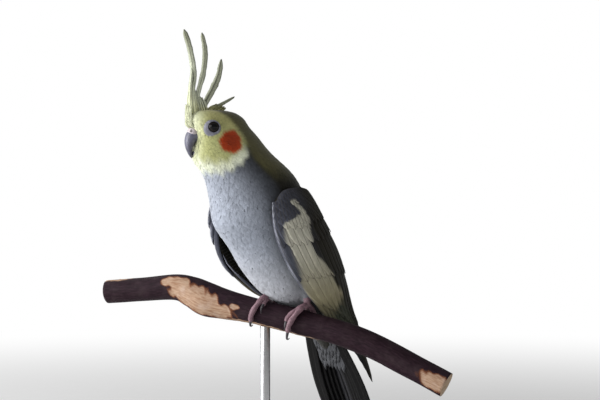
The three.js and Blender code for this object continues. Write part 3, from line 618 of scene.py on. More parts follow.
def mottle_group():
    """Soft uneven tone over a surface, at two sizes."""
    name = "Uneven tone"
    if name in bpy.data.node_groups:
        return bpy.data.node_groups[name]
    group, nodes, given, result = new_group(
        name,
        [
            ("Place", "NodeSocketVector", None),
            ("Size", "NodeSocketFloat", 100.0),
            ("Fine size", "NodeSocketFloat", 900.0),
        ],
        [("Tone", "NodeSocketFloat"), ("Fine", "NodeSocketFloat")],
    )
    for label, size, detail in (("Tone", "Size", 3.0), ("Fine", "Fine size", 5.0)):
        node = nodes.add("ShaderNodeTexNoise")
        node.inputs["Detail"].default_value = detail
        nodes.link(given["Place"], node.inputs["Vector"])
        nodes.link(given[size], node.inputs["Scale"])
        nodes.link(node.outputs["Fac"], result[label])
    return group


def new_material(name):
    """A material with its nodes and its shader."""
    material = bpy.data.materials.new(name)
    material.use_nodes = True
    nodes = Nodes(material.node_tree)
    shader = material.node_tree.nodes["Principled BSDF"]
    return material, nodes, shader


def object_place(nodes):
    return nodes.add("ShaderNodeTexCoord").outputs["Object"]


def painted(nodes, name):
    """The colour that is painted on the mesh under a name."""
    return nodes.add("ShaderNodeAttribute", attribute_name=name).outputs["Color"]


def uneven_tone(nodes, size, fine_size):
    """The soft tone over an object's surface and its fine grain."""
    node = nodes.add("ShaderNodeGroup", node_tree=mottle_group())
    set_inputs(node, Size=size, Fine_size=fine_size)
    nodes.link(object_place(nodes), node.inputs["Place"])
    return node.outputs["Tone"], node.outputs["Fine"]


def paler(base, factor):
    """A colour made lighter by a factor, or darker by one under 1."""
    return tuple(c * factor for c in base)


def vary_rough(nodes, shader, grain, low, high, smoothest, roughest):
    """Lets the roughness follow a grain that lies mostly between low and high."""
    nodes.link(nodes.span(grain, low, high, smoothest, roughest), shader.inputs["Roughness"])


def painted_shade(nodes, shader, base):
    """Multiplies the base colour by the shade that is painted on the mesh."""
    nodes.link(nodes.blend(1.0, base, painted(nodes, "shade"), "MULTIPLY"), shader.inputs["Base Color"])


def add_bump(nodes, shader, height, strength, distance):
    bump = nodes.add("ShaderNodeBump")
    set_inputs(bump, Strength=strength, Distance=distance)
    nodes.link(height, bump.inputs["Height"])
    nodes.link(bump.outputs["Normal"], shader.inputs["Normal"])


def feather_material(name, rough, sheen, barbs, shaft, contrast, bump, shaft_colour=None):
    """Plumage that takes its markings from the mesh and its barbs and shaft from each vane's own map."""
    material, nodes, shader = new_material(name)
    grain = nodes.add("ShaderNodeGroup", node_tree=barb_group())
    set_inputs(grain, Barbs_per_mm=barbs, Shaft_width=shaft)
    nodes.link(nodes.add("ShaderNodeUVMap", uv_map="Vane").outputs["UV"], grain.inputs["Vane"])
    tone = uneven_tone(nodes, 140.0, 1600.0)[0]
    shade = nodes.span(grain.outputs["Shade"], 0.3, 0.7, 1 - contrast, 1 + contrast)
    uneven = nodes.span(tone, 0.3, 0.7, 1 - contrast * 0.5, 1 + contrast * 0.5)
    level = nodes.math("MULTIPLY", shade, uneven)
    toned = nodes.blend(1.0, painted(nodes, "plumage"), level, "MULTIPLY")
    if shaft_colour:
        toned = nodes.blend(nodes.math("MULTIPLY", grain.outputs["Shaft"], 0.8), toned, shaft_colour)
    nodes.link(toned, shader.inputs["Base Color"])
    vary_rough(nodes, shader, grain.outputs["Shade"], 0.2, 0.8, rough - 0.08, rough + 0.08)
    set_inputs(shader, Sheen_Weight=sheen, Sheen_Roughness=0.5, Specular_IOR_Level=0.08)
    add_bump(nodes, shader, grain.outputs["Height"], bump, 0.0002)
    return material


def skin_material():
    """The down that shows between the small feathers."""
    material, nodes, shader = new_material("Skin under the coat")
    fine = uneven_tone(nodes, 400.0, 2600.0)[1]
    toned = nodes.blend(1.0, painted(nodes, "plumage"), nodes.span(fine, 0.3, 0.7, 0.75, 1.05), "MULTIPLY")
    nodes.link(toned, shader.inputs["Base Color"])
    set_inputs(shader, Roughness=0.85)
    add_bump(nodes, shader, fine, 0.4, 0.0003)
    return material


def horn_material(name, base, light, rough, streaks):
    """Horn with fine growth streaks, paler in soft patches."""
    material, nodes, shader = new_material(name)
    tone, fine = uneven_tone(nodes, streaks, streaks * 6)
    painted_shade(nodes, shader, nodes.blend(nodes.span(tone, 0.35, 0.7), base, light))
    vary_rough(nodes, shader, fine, 0.3, 0.7, rough - 0.08, rough + 0.1)
    add_bump(nodes, shader, fine, 0.25, 0.0001)
    return material


def bare_skin_material(name, base, deep, rough):
    """Wrinkled bare skin, with painted shade darkening its creases."""
    material, nodes, shader = new_material(name)
    cells = nodes.add("ShaderNodeTexVoronoi", feature="DISTANCE_TO_EDGE")
    set_inputs(cells, Scale=1100)
    nodes.link(object_place(nodes), cells.inputs["Vector"])
    tone, fine = uneven_tone(nodes, 500.0, 3000.0)
    crease = nodes.span(cells.outputs["Distance"], 0.0, 0.16)
    uneven = nodes.blend(nodes.span(tone, 0.35, 0.65), deep, base)
    # painted shade: the creases are darkened towards the deep colour
    painted_shade(nodes, shader, nodes.blend(crease, deep, uneven))
    vary_rough(nodes, shader, fine, 0.3, 0.7, rough - 0.1, rough + 0.1)
    add_bump(nodes, shader, crease, 0.35, 0.00015)
    return material


PUPIL = (0.002, 0.002, 0.003)


def eye_material(iris):
    """A wet eye: a black pupil within a fibrous iris, under a clear coat."""
    material, nodes, shader = new_material("Eye")
    split = nodes.add("ShaderNodeSeparateColor")
    nodes.link(painted(nodes, "shade"), split.inputs[0])
    fine = uneven_tone(nodes, 900.0, 4000.0)[1]
    fibres = nodes.blend(nodes.span(fine, 0.35, 0.65), iris, paler(iris, 1.7))
    outside = nodes.span(split.outputs["Red"], 0.42, 0.48)
    nodes.link(nodes.blend(outside, PUPIL, fibres), shader.inputs["Base Color"])
    set_inputs(shader, Roughness=0.1, Specular_IOR_Level=0.12, Coat_Weight=0.16, Coat_Roughness=0.02)
    return material


# paler bluish patches on the bark: partly worn bark, partly painted sheen
WORN_AND_SHEEN_BARK = (0.045, 0.030, 0.034)
INNER_BARK = (0.20, 0.075, 0.035)  # the brown rim that shows round each bare place
WOOD_GRAIN = (0.62, 0.5, 0.42)  # how dark the wood's grain is beside the wood
BLEACHED_WOOD = (0.55, 0.43, 0.36)
SAWN_DARK = (0.36, 0.25, 0.16)
SAWN_LIGHT = (0.52, 0.39, 0.27)


def bark_material(perch):
    """Smooth dark bark with fine lengthwise grain and paler patches, partly wear and partly painted sheen,
    and bare pale wood where the mesh says so.
    """
    material, nodes, shader = new_material("Bark and bare wood")
    place = nodes.add("ShaderNodeUVMap", uv_map="Bark").outputs["UV"]
    stretch = nodes.add("ShaderNodeMapping")
    set_inputs(stretch, Scale=(0.18, 1.0, 1.0))
    nodes.link(place, stretch.inputs["Vector"])
    grain = nodes.noise(stretch.outputs["Vector"], 1.1, 6.0, 0.62)
    coarse = nodes.noise(place, 0.12, 4.0, 0.6)
    fine = nodes.noise(place, 2.2, 5.0, 0.6)
    bark = nodes.blend(nodes.span(grain, 0.35, 0.7), perch.bark, paler(perch.bark, 2.0))
    # partly painted sheen: paler patches over the bark, partly wear
    bark = nodes.blend(nodes.span(coarse, 0.45, 0.75, 0.0, 0.6), bark, WORN_AND_SHEEN_BARK)
    wood_dark = tuple(c * share for c, share in zip(perch.wood, WOOD_GRAIN))
    wood = nodes.blend(nodes.span(grain, 0.3, 0.68), wood_dark, perch.wood)
    wood = nodes.blend(nodes.span(coarse, 0.5, 0.7, 0.0, 0.5), wood, BLEACHED_WOOD)
    split = nodes.add("ShaderNodeSeparateColor")
    nodes.link(painted(nodes, "bare"), split.inputs[0])
    tear = nodes.math("MULTIPLY", nodes.math("SUBTRACT", fine, 0.5), 0.35)
    ragged = nodes.math("ADD", split.outputs["Red"], tear)
    bare = nodes.span(ragged, 0.46, 0.54)
    rim = nodes.math("MULTIPLY", nodes.span(ragged, 0.34, 0.48), nodes.span(ragged, 0.48, 0.66, 1.0, 0.0))
    surface = nodes.blend(bare, bark, wood)
    surface = nodes.blend(nodes.math("MULTIPLY", rim, 0.75), surface, INNER_BARK)
    sawn = nodes.blend(nodes.span(fine, 0.3, 0.7), SAWN_DARK, SAWN_LIGHT)
    nodes.link(nodes.blend(split.outputs["Green"], surface, sawn), shader.inputs["Base Color"])
    nodes.link(nodes.span(bare, 0.0, 1.0, 0.55, 0.8), shader.inputs["Roughness"])
    set_inputs(shader, Specular_IOR_Level=0.06)
    height = nodes.math("ADD", nodes.math("MULTIPLY", grain, 0.7), nodes.math("MULTIPLY", fine, 0.3))
    add_bump(nodes, shader, height, 0.5, 0.0004)
    return material


def coated_material(name, base, rough, metal, grain):
    """Powder coat or bare steel with a fine even grain."""
    material, nodes, shader = new_material(name)
    tone, fine = uneven_tone(nodes, 30.0, grain)
    uneven = nodes.blend(nodes.span(tone, 0.3, 0.7), base, paler(base, 1.15))
    nodes.link(uneven, shader.inputs["Base Color"])
    set_inputs(shader, Metallic=metal)
    vary_rough(nodes, shader, fine, 0.3, 0.7, rough - 0.06, rough + 0.08)
    add_bump(nodes, shader, fine, 0.2, 0.0001)
    return material


# Meshes


def add_object(name, data):
    made = bpy.data.objects.new(name, data)
    bpy.context.scene.collection.objects.link(made)
    return made


def finish_object(name, mesh, material, slot, *replaced):
    """Adds a finished piece with its material, parented to the body, and hides the parts that it replaces."""
    piece = add_object(name, mesh)
    mesh.materials.clear()
    mesh.materials.append(material)
    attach(piece, BODY_NAME)
    if replaced:
        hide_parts(*replaced)


def mesh_from_bmesh(name, bm, smooth=True):
    """Turns what was built in the bird's own millimetres into a mesh in metres."""
    bmesh.ops.recalc_face_normals(bm, faces=bm.faces)
    for vert in bm.verts:
        vert.co = (Vector(PERCH) + vert.co) * MM
    for face in bm.faces:
        face.smooth = smooth
    mesh = bpy.data.meshes.new(name)
    bm.to_mesh(mesh)
    bm.free()
    return mesh


def paint(mesh, attribute, colours):
    """Stores a colour at each of a mesh's vertices."""
    rgba = np.ones((len(mesh.vertices), 4), np.float32)
    rgba[:, :3] = colours
    layer = mesh.color_attributes.new(attribute, "FLOAT_COLOR", "POINT")
    layer.data.foreach_set("color", rgba.ravel())


def vertex_places(mesh):
    """A mesh's vertices in the bird's own millimetres."""
    places = np.empty(len(mesh.vertices) * 3)
    mesh.vertices.foreach_get("co", places)
    return places.reshape(-1, 3) / MM - PERCH


def vertex_normals(mesh):
    normals = np.empty(len(mesh.vertices) * 3)
    mesh.vertices.foreach_get("normal", normals)
    return normals.reshape(-1, 3)


def store_map(mesh, name, places):
    """Stores a flat place at each corner of a mesh's faces."""
    mesh.uv_layers.new(name=name).data.foreach_set("uv", places.astype(np.float32).ravel())


def round_body(bm, around, along, at):
    """Adds a closed round form. at(u, v) gives its surface: u once round it, v from one end to the other."""
    made = bmesh.ops.create_uvsphere(bm, u_segments=around, v_segments=along, radius=1)["verts"]
    co = np.array([vert.co for vert in made])
    v = 1 - np.arccos(np.clip(co[:, 2], -1, 1)) / np.pi
    u = (np.arctan2(co[:, 1], co[:, 0]) / (2 * np.pi)) % 1
    for vert, place in zip(made, at(u, v)):
        vert.co = place
    return made


TUBE_STATIONS = 400
TUBE_STEP = 0.004


def tube(bm, points, radius, around, along, reference):
    """Adds a round tube with closed ends along a curve. radius(v, a) is its half thickness."""
    points = np.asarray(points, float)
    shares = np.linspace(0, 1, TUBE_STATIONS)
    steps = np.linalg.norm(np.diff(spline(points, shares), axis=0), axis=1)
    walked = np.concatenate([[0], np.cumsum(steps)])
    walked /= walked[-1]

    def at(u, v):
        share = np.interp(v, walked, shares)
        ahead = spline(points, np.minimum(share + TUBE_STEP, 1))
        way = unit(ahead - spline(points, np.maximum(share - TUBE_STEP, 0)))
        side = unit(np.cross(np.asarray(reference, float), way))
        up = np.cross(way, side)
        a = u * 2 * np.pi
        reach = radius(v, a)[:, None]
        return spline(points, share) + (side * np.cos(a)[:, None] + up * np.sin(a)[:, None]) * reach

    return round_body(bm, around, along, at)


def round_ends(v, share):
    """How a form's thickness rounds off over a share of its length at both ends."""
    t = np.minimum(np.minimum(v, 1 - v) / share, 1)
    return np.sqrt(np.maximum(0, 1 - (1 - t) ** 2))


def vane_faces(rows, cols):
    """The quads of one closed vane: an upper grid and a lower one that share their rim.

    Both start a quad at the same vertex, and a corner's quad at its inner one, so no face shows through."""
    upper = np.arange(rows * cols).reshape(rows, cols)
    lower = upper.copy()
    lower[1:-1, 1:-1] = rows * cols + np.arange((rows - 2) * (cols - 2)).reshape(rows - 2, cols - 2)

    def quads(grid):
        found = np.stack([grid[:-1, :-1], grid[1:, :-1], grid[1:, 1:], grid[:-1, 1:]], -1)
        for corner in ((0, -1), (-1, 0)):
            found[corner] = np.roll(found[corner], -1)
        return found.reshape(-1, 4)

    return quads(upper), quads(lower)[:, (0, 3, 2, 1)]


SHAFT_SWELL = 1.6  # how much thicker a vane is along its shaft


def vanes_mesh(name, places, normals, thick, colours, across, along, patch=None, soft=0.0):
    """Joins closed vanes into one mesh.

    places, normals and colours are (vane, row, column, 3), across and along are each vane's own map in
    millimetres, and patch is the bake map (vane, row, column, 2) that small vanes share for both faces."""
    count, rows, cols = places.shape[:3]
    lens = np.full((rows, cols, 1), thick)
    lens[:, cols // 2] *= SHAFT_SWELL
    inner = np.s_[:, 1:-1, 1:-1]

    def both(values):
        width = values.shape[-1]
        return np.concatenate(
            [values.reshape(count, -1, width), values[inner].reshape(count, -1, width)], axis=1
        )

    raised = normals * lens
    raised[:, 0] = raised[:, -1] = 0
    raised[:, :, 0] = raised[:, :, -1] = 0
    verts = both(places + raised)
    verts[:, rows * cols :] = (places - raised)[inner].reshape(count, -1, 3)
    upper, lower = vane_faces(rows, cols)
    step = verts.shape[1]
    one = np.vstack([upper, lower])
    faces = (one[None] + (np.arange(count) * step)[:, None, None]).reshape(-1, 4)
    mesh = bpy.data.meshes.new(name)
    mesh.vertices.add(count * step)
    mesh.vertices.foreach_set("co", metres(verts).astype(np.float32).ravel())
    mesh.loops.add(faces.size)
    mesh.loops.foreach_set("vertex_index", faces.ravel().astype(np.int32))
    mesh.polygons.add(len(faces))
    mesh.polygons.foreach_set("loop_start", np.arange(0, faces.size, 4, dtype=np.int32))
    mesh.update(calc_edges=True)
    mesh.polygons.foreach_set("use_smooth", np.ones(len(faces), bool))
    paint(mesh, "plumage", both(colours).reshape(-1, 3))
    store_map(mesh, "Vane", both(np.stack([across, along], -1)).reshape(-1, 2)[faces.ravel()])
    maps = sheet_maps(count, rows, cols) if patch is None else (patch, patch)
    bake = [both(values)[:, face.ravel()] for values, face in zip(maps, (upper, lower))]
    store_map(mesh, "OFBake", np.concatenate(bake, axis=1))
    mesh.validate()
    if soft:
        out = both(normals)
        out[:, rows * cols :] *= -1
        shading = unit(mix(vertex_normals(mesh), out.reshape(-1, 3), soft))
        mesh.normals_split_custom_set_from_vertices(shading.astype(np.float32))
    return mesh


def sheet_maps(count, rows, cols):
    """Bake maps for large vanes, each with two cells of one sheet: its upper face and its lower."""
    side = math.ceil(math.sqrt(count * 2))
    margin = 0.06
    u = mix(margin, 1 - margin, np.linspace(0, 1, cols))[None, None, :]
    v = mix(margin, 1 - margin, np.linspace(0, 1, rows))[None, :, None]
    maps = []
    for face in (0, 1):
        cell = (np.arange(count) * 2 + face)[:, None, None]
        maps.append(np.stack(np.broadcast_arrays((cell % side + u) / side, (cell // side + v) / side), -1))
    return maps


# The skin and the body feathers


BARB_SHIFT = 60  # how far apart in millimetres two feathers' patterns of barbs may start


def leg_radius(v, a):
    return mix(ANKLE_RADIUS, THIGH_RADIUS, smoothstep(v, 0.12, 0.75)) * round_ends(v, 0.16)


def coat_depth(points, plumage):
    """The coat's depth over the skin in millimetres, least on the face and round the ankles."""
    p = turn_neck(points, back=True)
    share = smoothstep(p[..., 2], 84, 106)
    depth = mix(plumage.body_depth, plumage.head_depth, share) / MM
    shank = smoothstep(-p[..., 2], -26, -12) * (p[..., 1] < 26)
    return depth * mix(1, 0.5, shank)


def coat_spacing(points, plumage):
    """The distance between feathers in millimetres, closer on the head."""
    p = turn_neck(points, back=True)
    share = smoothstep(p[..., 2], 72, 104)
    return mix(plumage.body_spacing, plumage.head_spacing, share) / MM


def coat_lie(points, normals):
    """The lie of the coat: away from the bill on the head, and along the body to the tail below it."""
    bill = turn_neck(BILL_BASE)
    share = smoothstep(points[..., 2], 84, 104)[..., None]
    way = mix(np.array((0, 0.5, -0.86)), unit(points - bill), share)
    way = way - normals * np.sum(way * normals, -1, keepdims=True)
    return unit(way)


TRIES_PER_ROOT = 14


class Skin:
    """The bare body under the coat, with the nearest places and normals on it."""

    def __init__(self, mesh):
        self.places = vertex_places(mesh)
        self.normals = vertex_normals(mesh)
        mesh.calc_loop_triangles()
        corners = np.empty(len(mesh.loop_triangles) * 3, np.int32)
        mesh.loop_triangles.foreach_get("vertices", corners)
        self.triangles = corners.reshape(-1, 3)
        self.tree = BVHTree.FromPolygons(self.places.tolist(), self.triangles.tolist())

    def nearest(self, points):
        flat = points.reshape(-1, 3)
        places = np.empty_like(flat)
        index = np.empty(len(flat), np.int64)
        for i, point in enumerate(flat.tolist()):
            place, _, face, _ = self.tree.find_nearest(point)
            places[i] = place
            index[i] = face
        normals = unit(self.normals[self.triangles[index]].mean(1))
        return places.reshape(points.shape), normals.reshape(points.shape)

    def scatter(self, spacing, random):
        """Roots that keep the local spacing from one another, found in random order."""
        corners = self.places[self.triangles]
        edges = np.cross(corners[:, 1] - corners[:, 0], corners[:, 2] - corners[:, 0])
        area = np.linalg.norm(edges, axis=1) / 2
        wanted = area / spacing(corners.mean(1)) ** 2
        count = int(wanted.sum() * TRIES_PER_ROOT)
        picked = random.choice(len(wanted), count, p=wanted / wanted.sum())
        a, b = random.random((2, count, 1))
        over = a + b > 1
        a, b = np.where(over, 1 - a, a), np.where(over, 1 - b, b)
        own = corners[picked]
        places = own[:, 0] * (1 - a - b) + own[:, 1] * a + own[:, 2] * b
        reach = spacing(places)
        tree = KDTree(count)
        for i, place in enumerate(places):
            tree.insert(place, i)
        tree.balance()
        free = np.ones(count, bool)
        kept = []
        for i in range(count):
            if free[i]:
                kept.append(i)
                for _, other, _ in tree.find_range(places[i], reach[i]):
                    free[other] = False
        return places[kept]


SKIN_VOXEL = 0.0011


def make_skin(plumage):
    """The body, neck, head and thighs as one smooth closed mesh, the coat's depth inside the solids."""
    bm = bmesh.new()
    round_body(bm, 72, 110, lambda u, v: body_point(v, u * 2 * np.pi + np.pi / 2))
    for foot in FEET.values():
        tube(bm, leg_line(foot), leg_radius, 32, 32, LEFT)
    mesh = mesh_from_bmesh("skin", bm)
    bare = add_object("skin_form", mesh)
    remesh = bare.modifiers.new("One skin", "REMESH")
    remesh.mode = "VOXEL"
    remesh.voxel_size = SKIN_VOXEL
    remesh.use_smooth_shade = True
    smooth = bare.modifiers.new("Soft folds", "SMOOTH")
    smooth.factor = 0.5
    smooth.iterations = 6
    whole = bpy.data.meshes.new_from_object(bare.evaluated_get(bpy.context.evaluated_depsgraph_get()))
    bpy.data.objects.remove(bare)
    places = vertex_places(whole)
    places -= vertex_normals(whole) * coat_depth(places, plumage)[:, None]
    whole.vertices.foreach_set("co", metres(places).astype(np.float32).ravel())
    whole.update()
    return whole


WING_HIDES = 3.4  # roots that lie nearer than this to the folded wing's inner face are left out


def under_wing(roots):
    """Which roots a folded wing hides."""
    t, w = np.meshgrid(np.linspace(0.12, 0.8, 30), np.linspace(0.1, 0.93, 16), indexing="ij")
    left = wing_skin(t.ravel(), w.ravel())
    hidden = np.zeros(len(roots), bool)
    for side in (1, -1):
        tree = KDTree(len(left))
        for i, place in enumerate(left * (side, 1, 1)):
            tree.insert(place, i)
        tree.balance()
        for i, root in enumerate(roots):
            if root[0] * side > 1:
                hidden[i] |= tree.find(root)[2] < WING_HIDES
    return hidden


def bare_distance(points):
    """How far places of the head lie from the bare skin round the eyes and from the bill."""
    flat = turn_neck(points, back=True)
    eye = np.linalg.norm(np.stack([np.abs(flat[:, 0]), flat[:, 1], flat[:, 2]], -1) - EYE_BARE, axis=1)
    bill = np.linalg.norm((flat - BILL_BARE) / BILL_BARE_SHAPE, axis=1)
    return np.minimum(eye - EYE_BARE_RADIUS, bill - BILL_BARE_RADIUS)


BAKE_PATCH = 0.003  # the share of the bake sheet's side that one small feather takes


def coat_vanes(skin, roots, plumage, random, kind):
    """Small cupped feathers from their roots along the coat's lie, laid over the skin."""
    rows, cols = kind["rows"], kind["cols"]
    count = len(roots)
    spacing = coat_spacing(roots, plumage)
    size = random.uniform(0.9, 1.12, count)
    short = mix(0.4, 1, smoothstep(bare_distance(roots), 0.3, 4.5))
    long = spacing * kind["long"] * size * short
    half = spacing * kind["wide"] / 2 * size
    depth = coat_depth(roots, plumage)
    shares = np.linspace(0, 1, rows)
    place, normal = skin.nearest(roots)
    swing = random.normal(0, kind["swing"], count)[:, None]
    ease = random.uniform(0.93, 1.07, count)
    centres, normals, ways = [], [], []
    for row in range(rows):
        way = coat_lie(place, normal)
        way = unit(way + np.cross(normal, way) * swing)
        centres.append(place)
        normals.append(normal)
        ways.append(way)
        place, normal = skin.nearest(place + way * (long / (rows - 1))[:, None])
    centres, normals, ways = (np.stack(v, 1)[:, :, None] for v in (centres, normals, ways))
    u = np.linspace(-1, 1, cols)[None, None, :]
    v = shares[None, :, None]
    fall = np.clip((v - kind["round"]) / (1 - kind["round"]), 0, 1)
    width = mix(kind["root_width"], 1, smoothstep(v, 0, 0.5)) * np.sqrt(1 - 0.97 * fall**2)
    off = u * half[:, None, None] * width
    fringe = random.normal(0, kind["fringe"], (count, 1, cols)) * long[:, None, None] * smoothstep(v, 0.6, 1)
    side = np.cross(normals, ways)
    back = 0.18 * np.abs(u) * half[:, None, None] * fall
    spread = centres + side * off[..., None] + ways * (fringe - back)[..., None]
    base, out = skin.nearest(spread)
    lift = mix(-0.15, kind["tip"], v**0.75) * ease[:, None, None] - kind["cup"] * u**2 * mix(0.3, 1, v)
    lift = lift - 0.1 * smoothstep(v, 0.8, 1)
    places = base + out * (lift * depth[:, None, None])[..., None]
    tone = random.normal(1, kind["tone"], (count, 1, 1, 1))
    streak = random.normal(1, kind["streak"], (count, 1, cols, 1))
    colours = body_marking(mix(base, centres[:, :1], 0.15), plumage) * tone * streak
    # painted shade: each small feather is darker at its root, where the feathers over it cover it, and paler
    # at its open tip
    colours = colours * mix(0.86, 1.04, smoothstep(v, 0.2, 0.9))[..., None]
    s, a = body_place(roots)
    middle = np.stack([(a / (2 * np.pi)) % 1, s], -1)[:, None, None]
    patch = middle * 0.98 + 0.01 + np.stack(np.broadcast_arrays(u / 2, v - 0.5), -1) * BAKE_PATCH
    along = np.broadcast_to(v * long[:, None, None], off.shape) + BARB_SHIFT * random.random((count, 1, 1))
    patch = np.broadcast_to(patch, (count, rows, cols, 2))
    return places, out, colours, off, along, patch


COAT_KINDS = {
    "head": {
        "rows": 5, "cols": 5, "long": 5.0, "wide": 2.1, "swing": 0.12, "round": 0.45, "root_width": 0.7,
        "tip": 1.0, "cup": 0.12, "tone": 0.055, "streak": 0.04, "fringe": 0.03, "thick": 0.02,
    },
    "body": {
        "rows": 6, "cols": 5, "long": 5.2, "wide": 2.3, "swing": 0.09, "round": 0.45, "root_width": 0.6,
        "tip": 1.0, "cup": 0.1, "tone": 0.05, "streak": 0.06, "fringe": 0.03, "thick": 0.03,
    },
}
SOFT_SHARE = 0.86  # how far the small feathers take their shading from the skin's own curve
# The coat's pieces, their kind and the heights between which they lie, before the head's turn
COAT_PIECES = (
    ("coat_face", "head", 103, math.inf),
    ("coat_cheeks", "head", 92, 103),
    ("coat_collar", "head", 80, 92),
    ("coat_breast", "body", 50, 80),
    ("coat_flanks", "body", 24, 50),
    ("coat_belly", "body", -math.inf, 24),
)
# Roots under this height and before this place lie between the thighs, where no feathers show
BETWEEN_THIGHS = (13, 14)


class COCKATIEL_OT_skin(bpy.types.Operator):
    """Makes the skin and lays the small feathers of the head, neck, body and thighs over it"""

    bl_idname = "cockatiel.skin"
    bl_label = "Skin and Body Feathers"

    def execute(self, context):
        plumage = context.scene.cockatiel_plumage
        random = np.random.default_rng(plumage.seed)
        mesh = make_skin(plumage)
        paint(mesh, "plumage", body_marking(vertex_places(mesh), plumage))
        finish_object(
            "skin", mesh, skin_material(), "grey_plumage", "torso", "neck", "head", "leg_left", "leg_right"
        )
        skin = Skin(mesh)
        roots = skin.scatter(lambda p: coat_spacing(p, plumage), random)
        low = (roots[:, 2] < BETWEEN_THIGHS[0]) & (roots[:, 1] < BETWEEN_THIGHS[1])
        roots = roots[(bare_distance(roots) > 0) & ~low]
        roots = roots[~under_wing(roots)]
        height = turn_neck(roots, back=True)[:, 2]
        soft = feather_material(
            "Body feathers", rough=0.82, sheen=0.25, barbs=4.0, shaft=0.12, contrast=0.10, bump=0.25
        )
        for name, kind_name, above, up_to in COAT_PIECES:
            kind = COAT_KINDS[kind_name]
            own = roots[(height > above) & (height <= up_to)]
            places, out, colours, across, along, patch = coat_vanes(skin, own, plumage, random, kind)
            coat = vanes_mesh(name, places, out, kind["thick"], colours, across, along, patch, SOFT_SHARE)
            slot = "yellow_plumage" if kind_name == "head" else "grey_plumage"
            finish_object(name, coat, soft, slot)
        return {"FINISHED"}


# Wings

# From the outermost tier inwards, as the solids have them, with more and finer vanes
WING_TIERS = (
    {
        "name": "lesser", "level": 0.0, "rows_of": 12, "vanes": 15, "root": ((-0.03, 0.0), (-0.03, 0.98)),
        "tip": ((0.045, 0.015), (0.05, 0.95)), "wide": 5.0, "round": 0.35, "stack": 0.0, "step": 0.0196,
        "rise": 0.8,
    },
    {
        "name": "median", "level": 0.3, "rows_of": 1, "vanes": 13, "root": ((0.15, 0.0), (0.14, 0.97)),
        "tip": ((0.34, 0.03), (0.34, 0.86)), "wide": 7.6, "round": 0.5, "stack": 0.05, "step": 0, "rise": 0.4,
    },
    {
        "name": "greater", "level": 1.2, "rows_of": 1, "vanes": 14, "root": ((0.20, 0.0), (0.18, 0.96)),
        "tip": ((0.50, 0.02), (0.55, 0.88)), "wide": 8.0, "round": 0.6, "stack": 0.1, "step": 0, "rise": 0.2,
    },
    {
        "name": "secondary", "level": 2.3, "rows_of": 1, "vanes": 10, "root": ((0.29, 0.06), (0.26, 0.88)),
        "tip": ((0.66, 0.10), (0.85, 0.88)), "wide": 9.8, "round": 0.72, "stack": 0.16, "step": 0, "rise": 0,
    },
    {
        "name": "primary", "level": 3.8, "rows_of": 1, "vanes": 7, "root": ((0.38, 0.03), (0.4, 0.46)),
        "tip": ((0.80, 0.02), (1.0, 0.5)), "wide": 8.2, "round": 0.7, "stack": 0.28, "step": 0, "rise": 0,
    },
)
TIER_STEP = 1.25  # how much deeper each tier starts
TIER_TOP = 0.35  # how deep the outermost one lies
TIER_FROM = 0.27  # where down the wing the tiers begin to come up as the one over them ends
TIER_RUN = 0.235
SHINGLE = 0.045  # how much each vane tilts over the next
TIP_SHIFT = 0.004
CHEVRON = 0.004  # how far a tip's sides lie behind its shaft
VANE_ARCH = 0.25
RIM_SINK = 0.9  # how far the tips dip at the wing's front and back edges
FRONT_SINK = 1.0  # how far the front edge dips where it meets the breast
BACK_SINK = 0.7
PALE_RIM = 0.35  # how much paler each vane's front rim is
WING_VANE_THICK = 0.13
WING_ROWS = 13
WING_COLS = 7


def tier_depth(tier, t):
    """How deep under the wing's outer surface a tier lies."""
    return TIER_TOP + TIER_STEP * (tier - np.maximum(0, (t - TIER_FROM) / TIER_RUN))


def bend_sink(t, w):
    """How deep the rounded bend of the wing dips under the body feathers, in millimetres."""
    reach = mix(0.11, 0.2, smoothstep(w, 0.5, 0.9))
    high = np.clip((reach - t) / reach, 0, 1)
    over = np.hypot(high, np.maximum(0, (np.abs(2 * w - 1) - 0.45) / 0.55))
    return wing_thick(t, w) * 1.2 * smoothstep(over, 0.55, 1.15) * smoothstep(high, 0, 0.25)


def vane_width(v, full_from):
    """A vane's width along its shaft as a share of its widest: narrow at the root and rounded at the tip."""
    tip = np.clip((v - full_from) / (1 - full_from), 0, 1)
    return mix(0.6, 1, smoothstep(v, 0, 0.4)) * np.sqrt(1 - 0.985 * tip * tip)


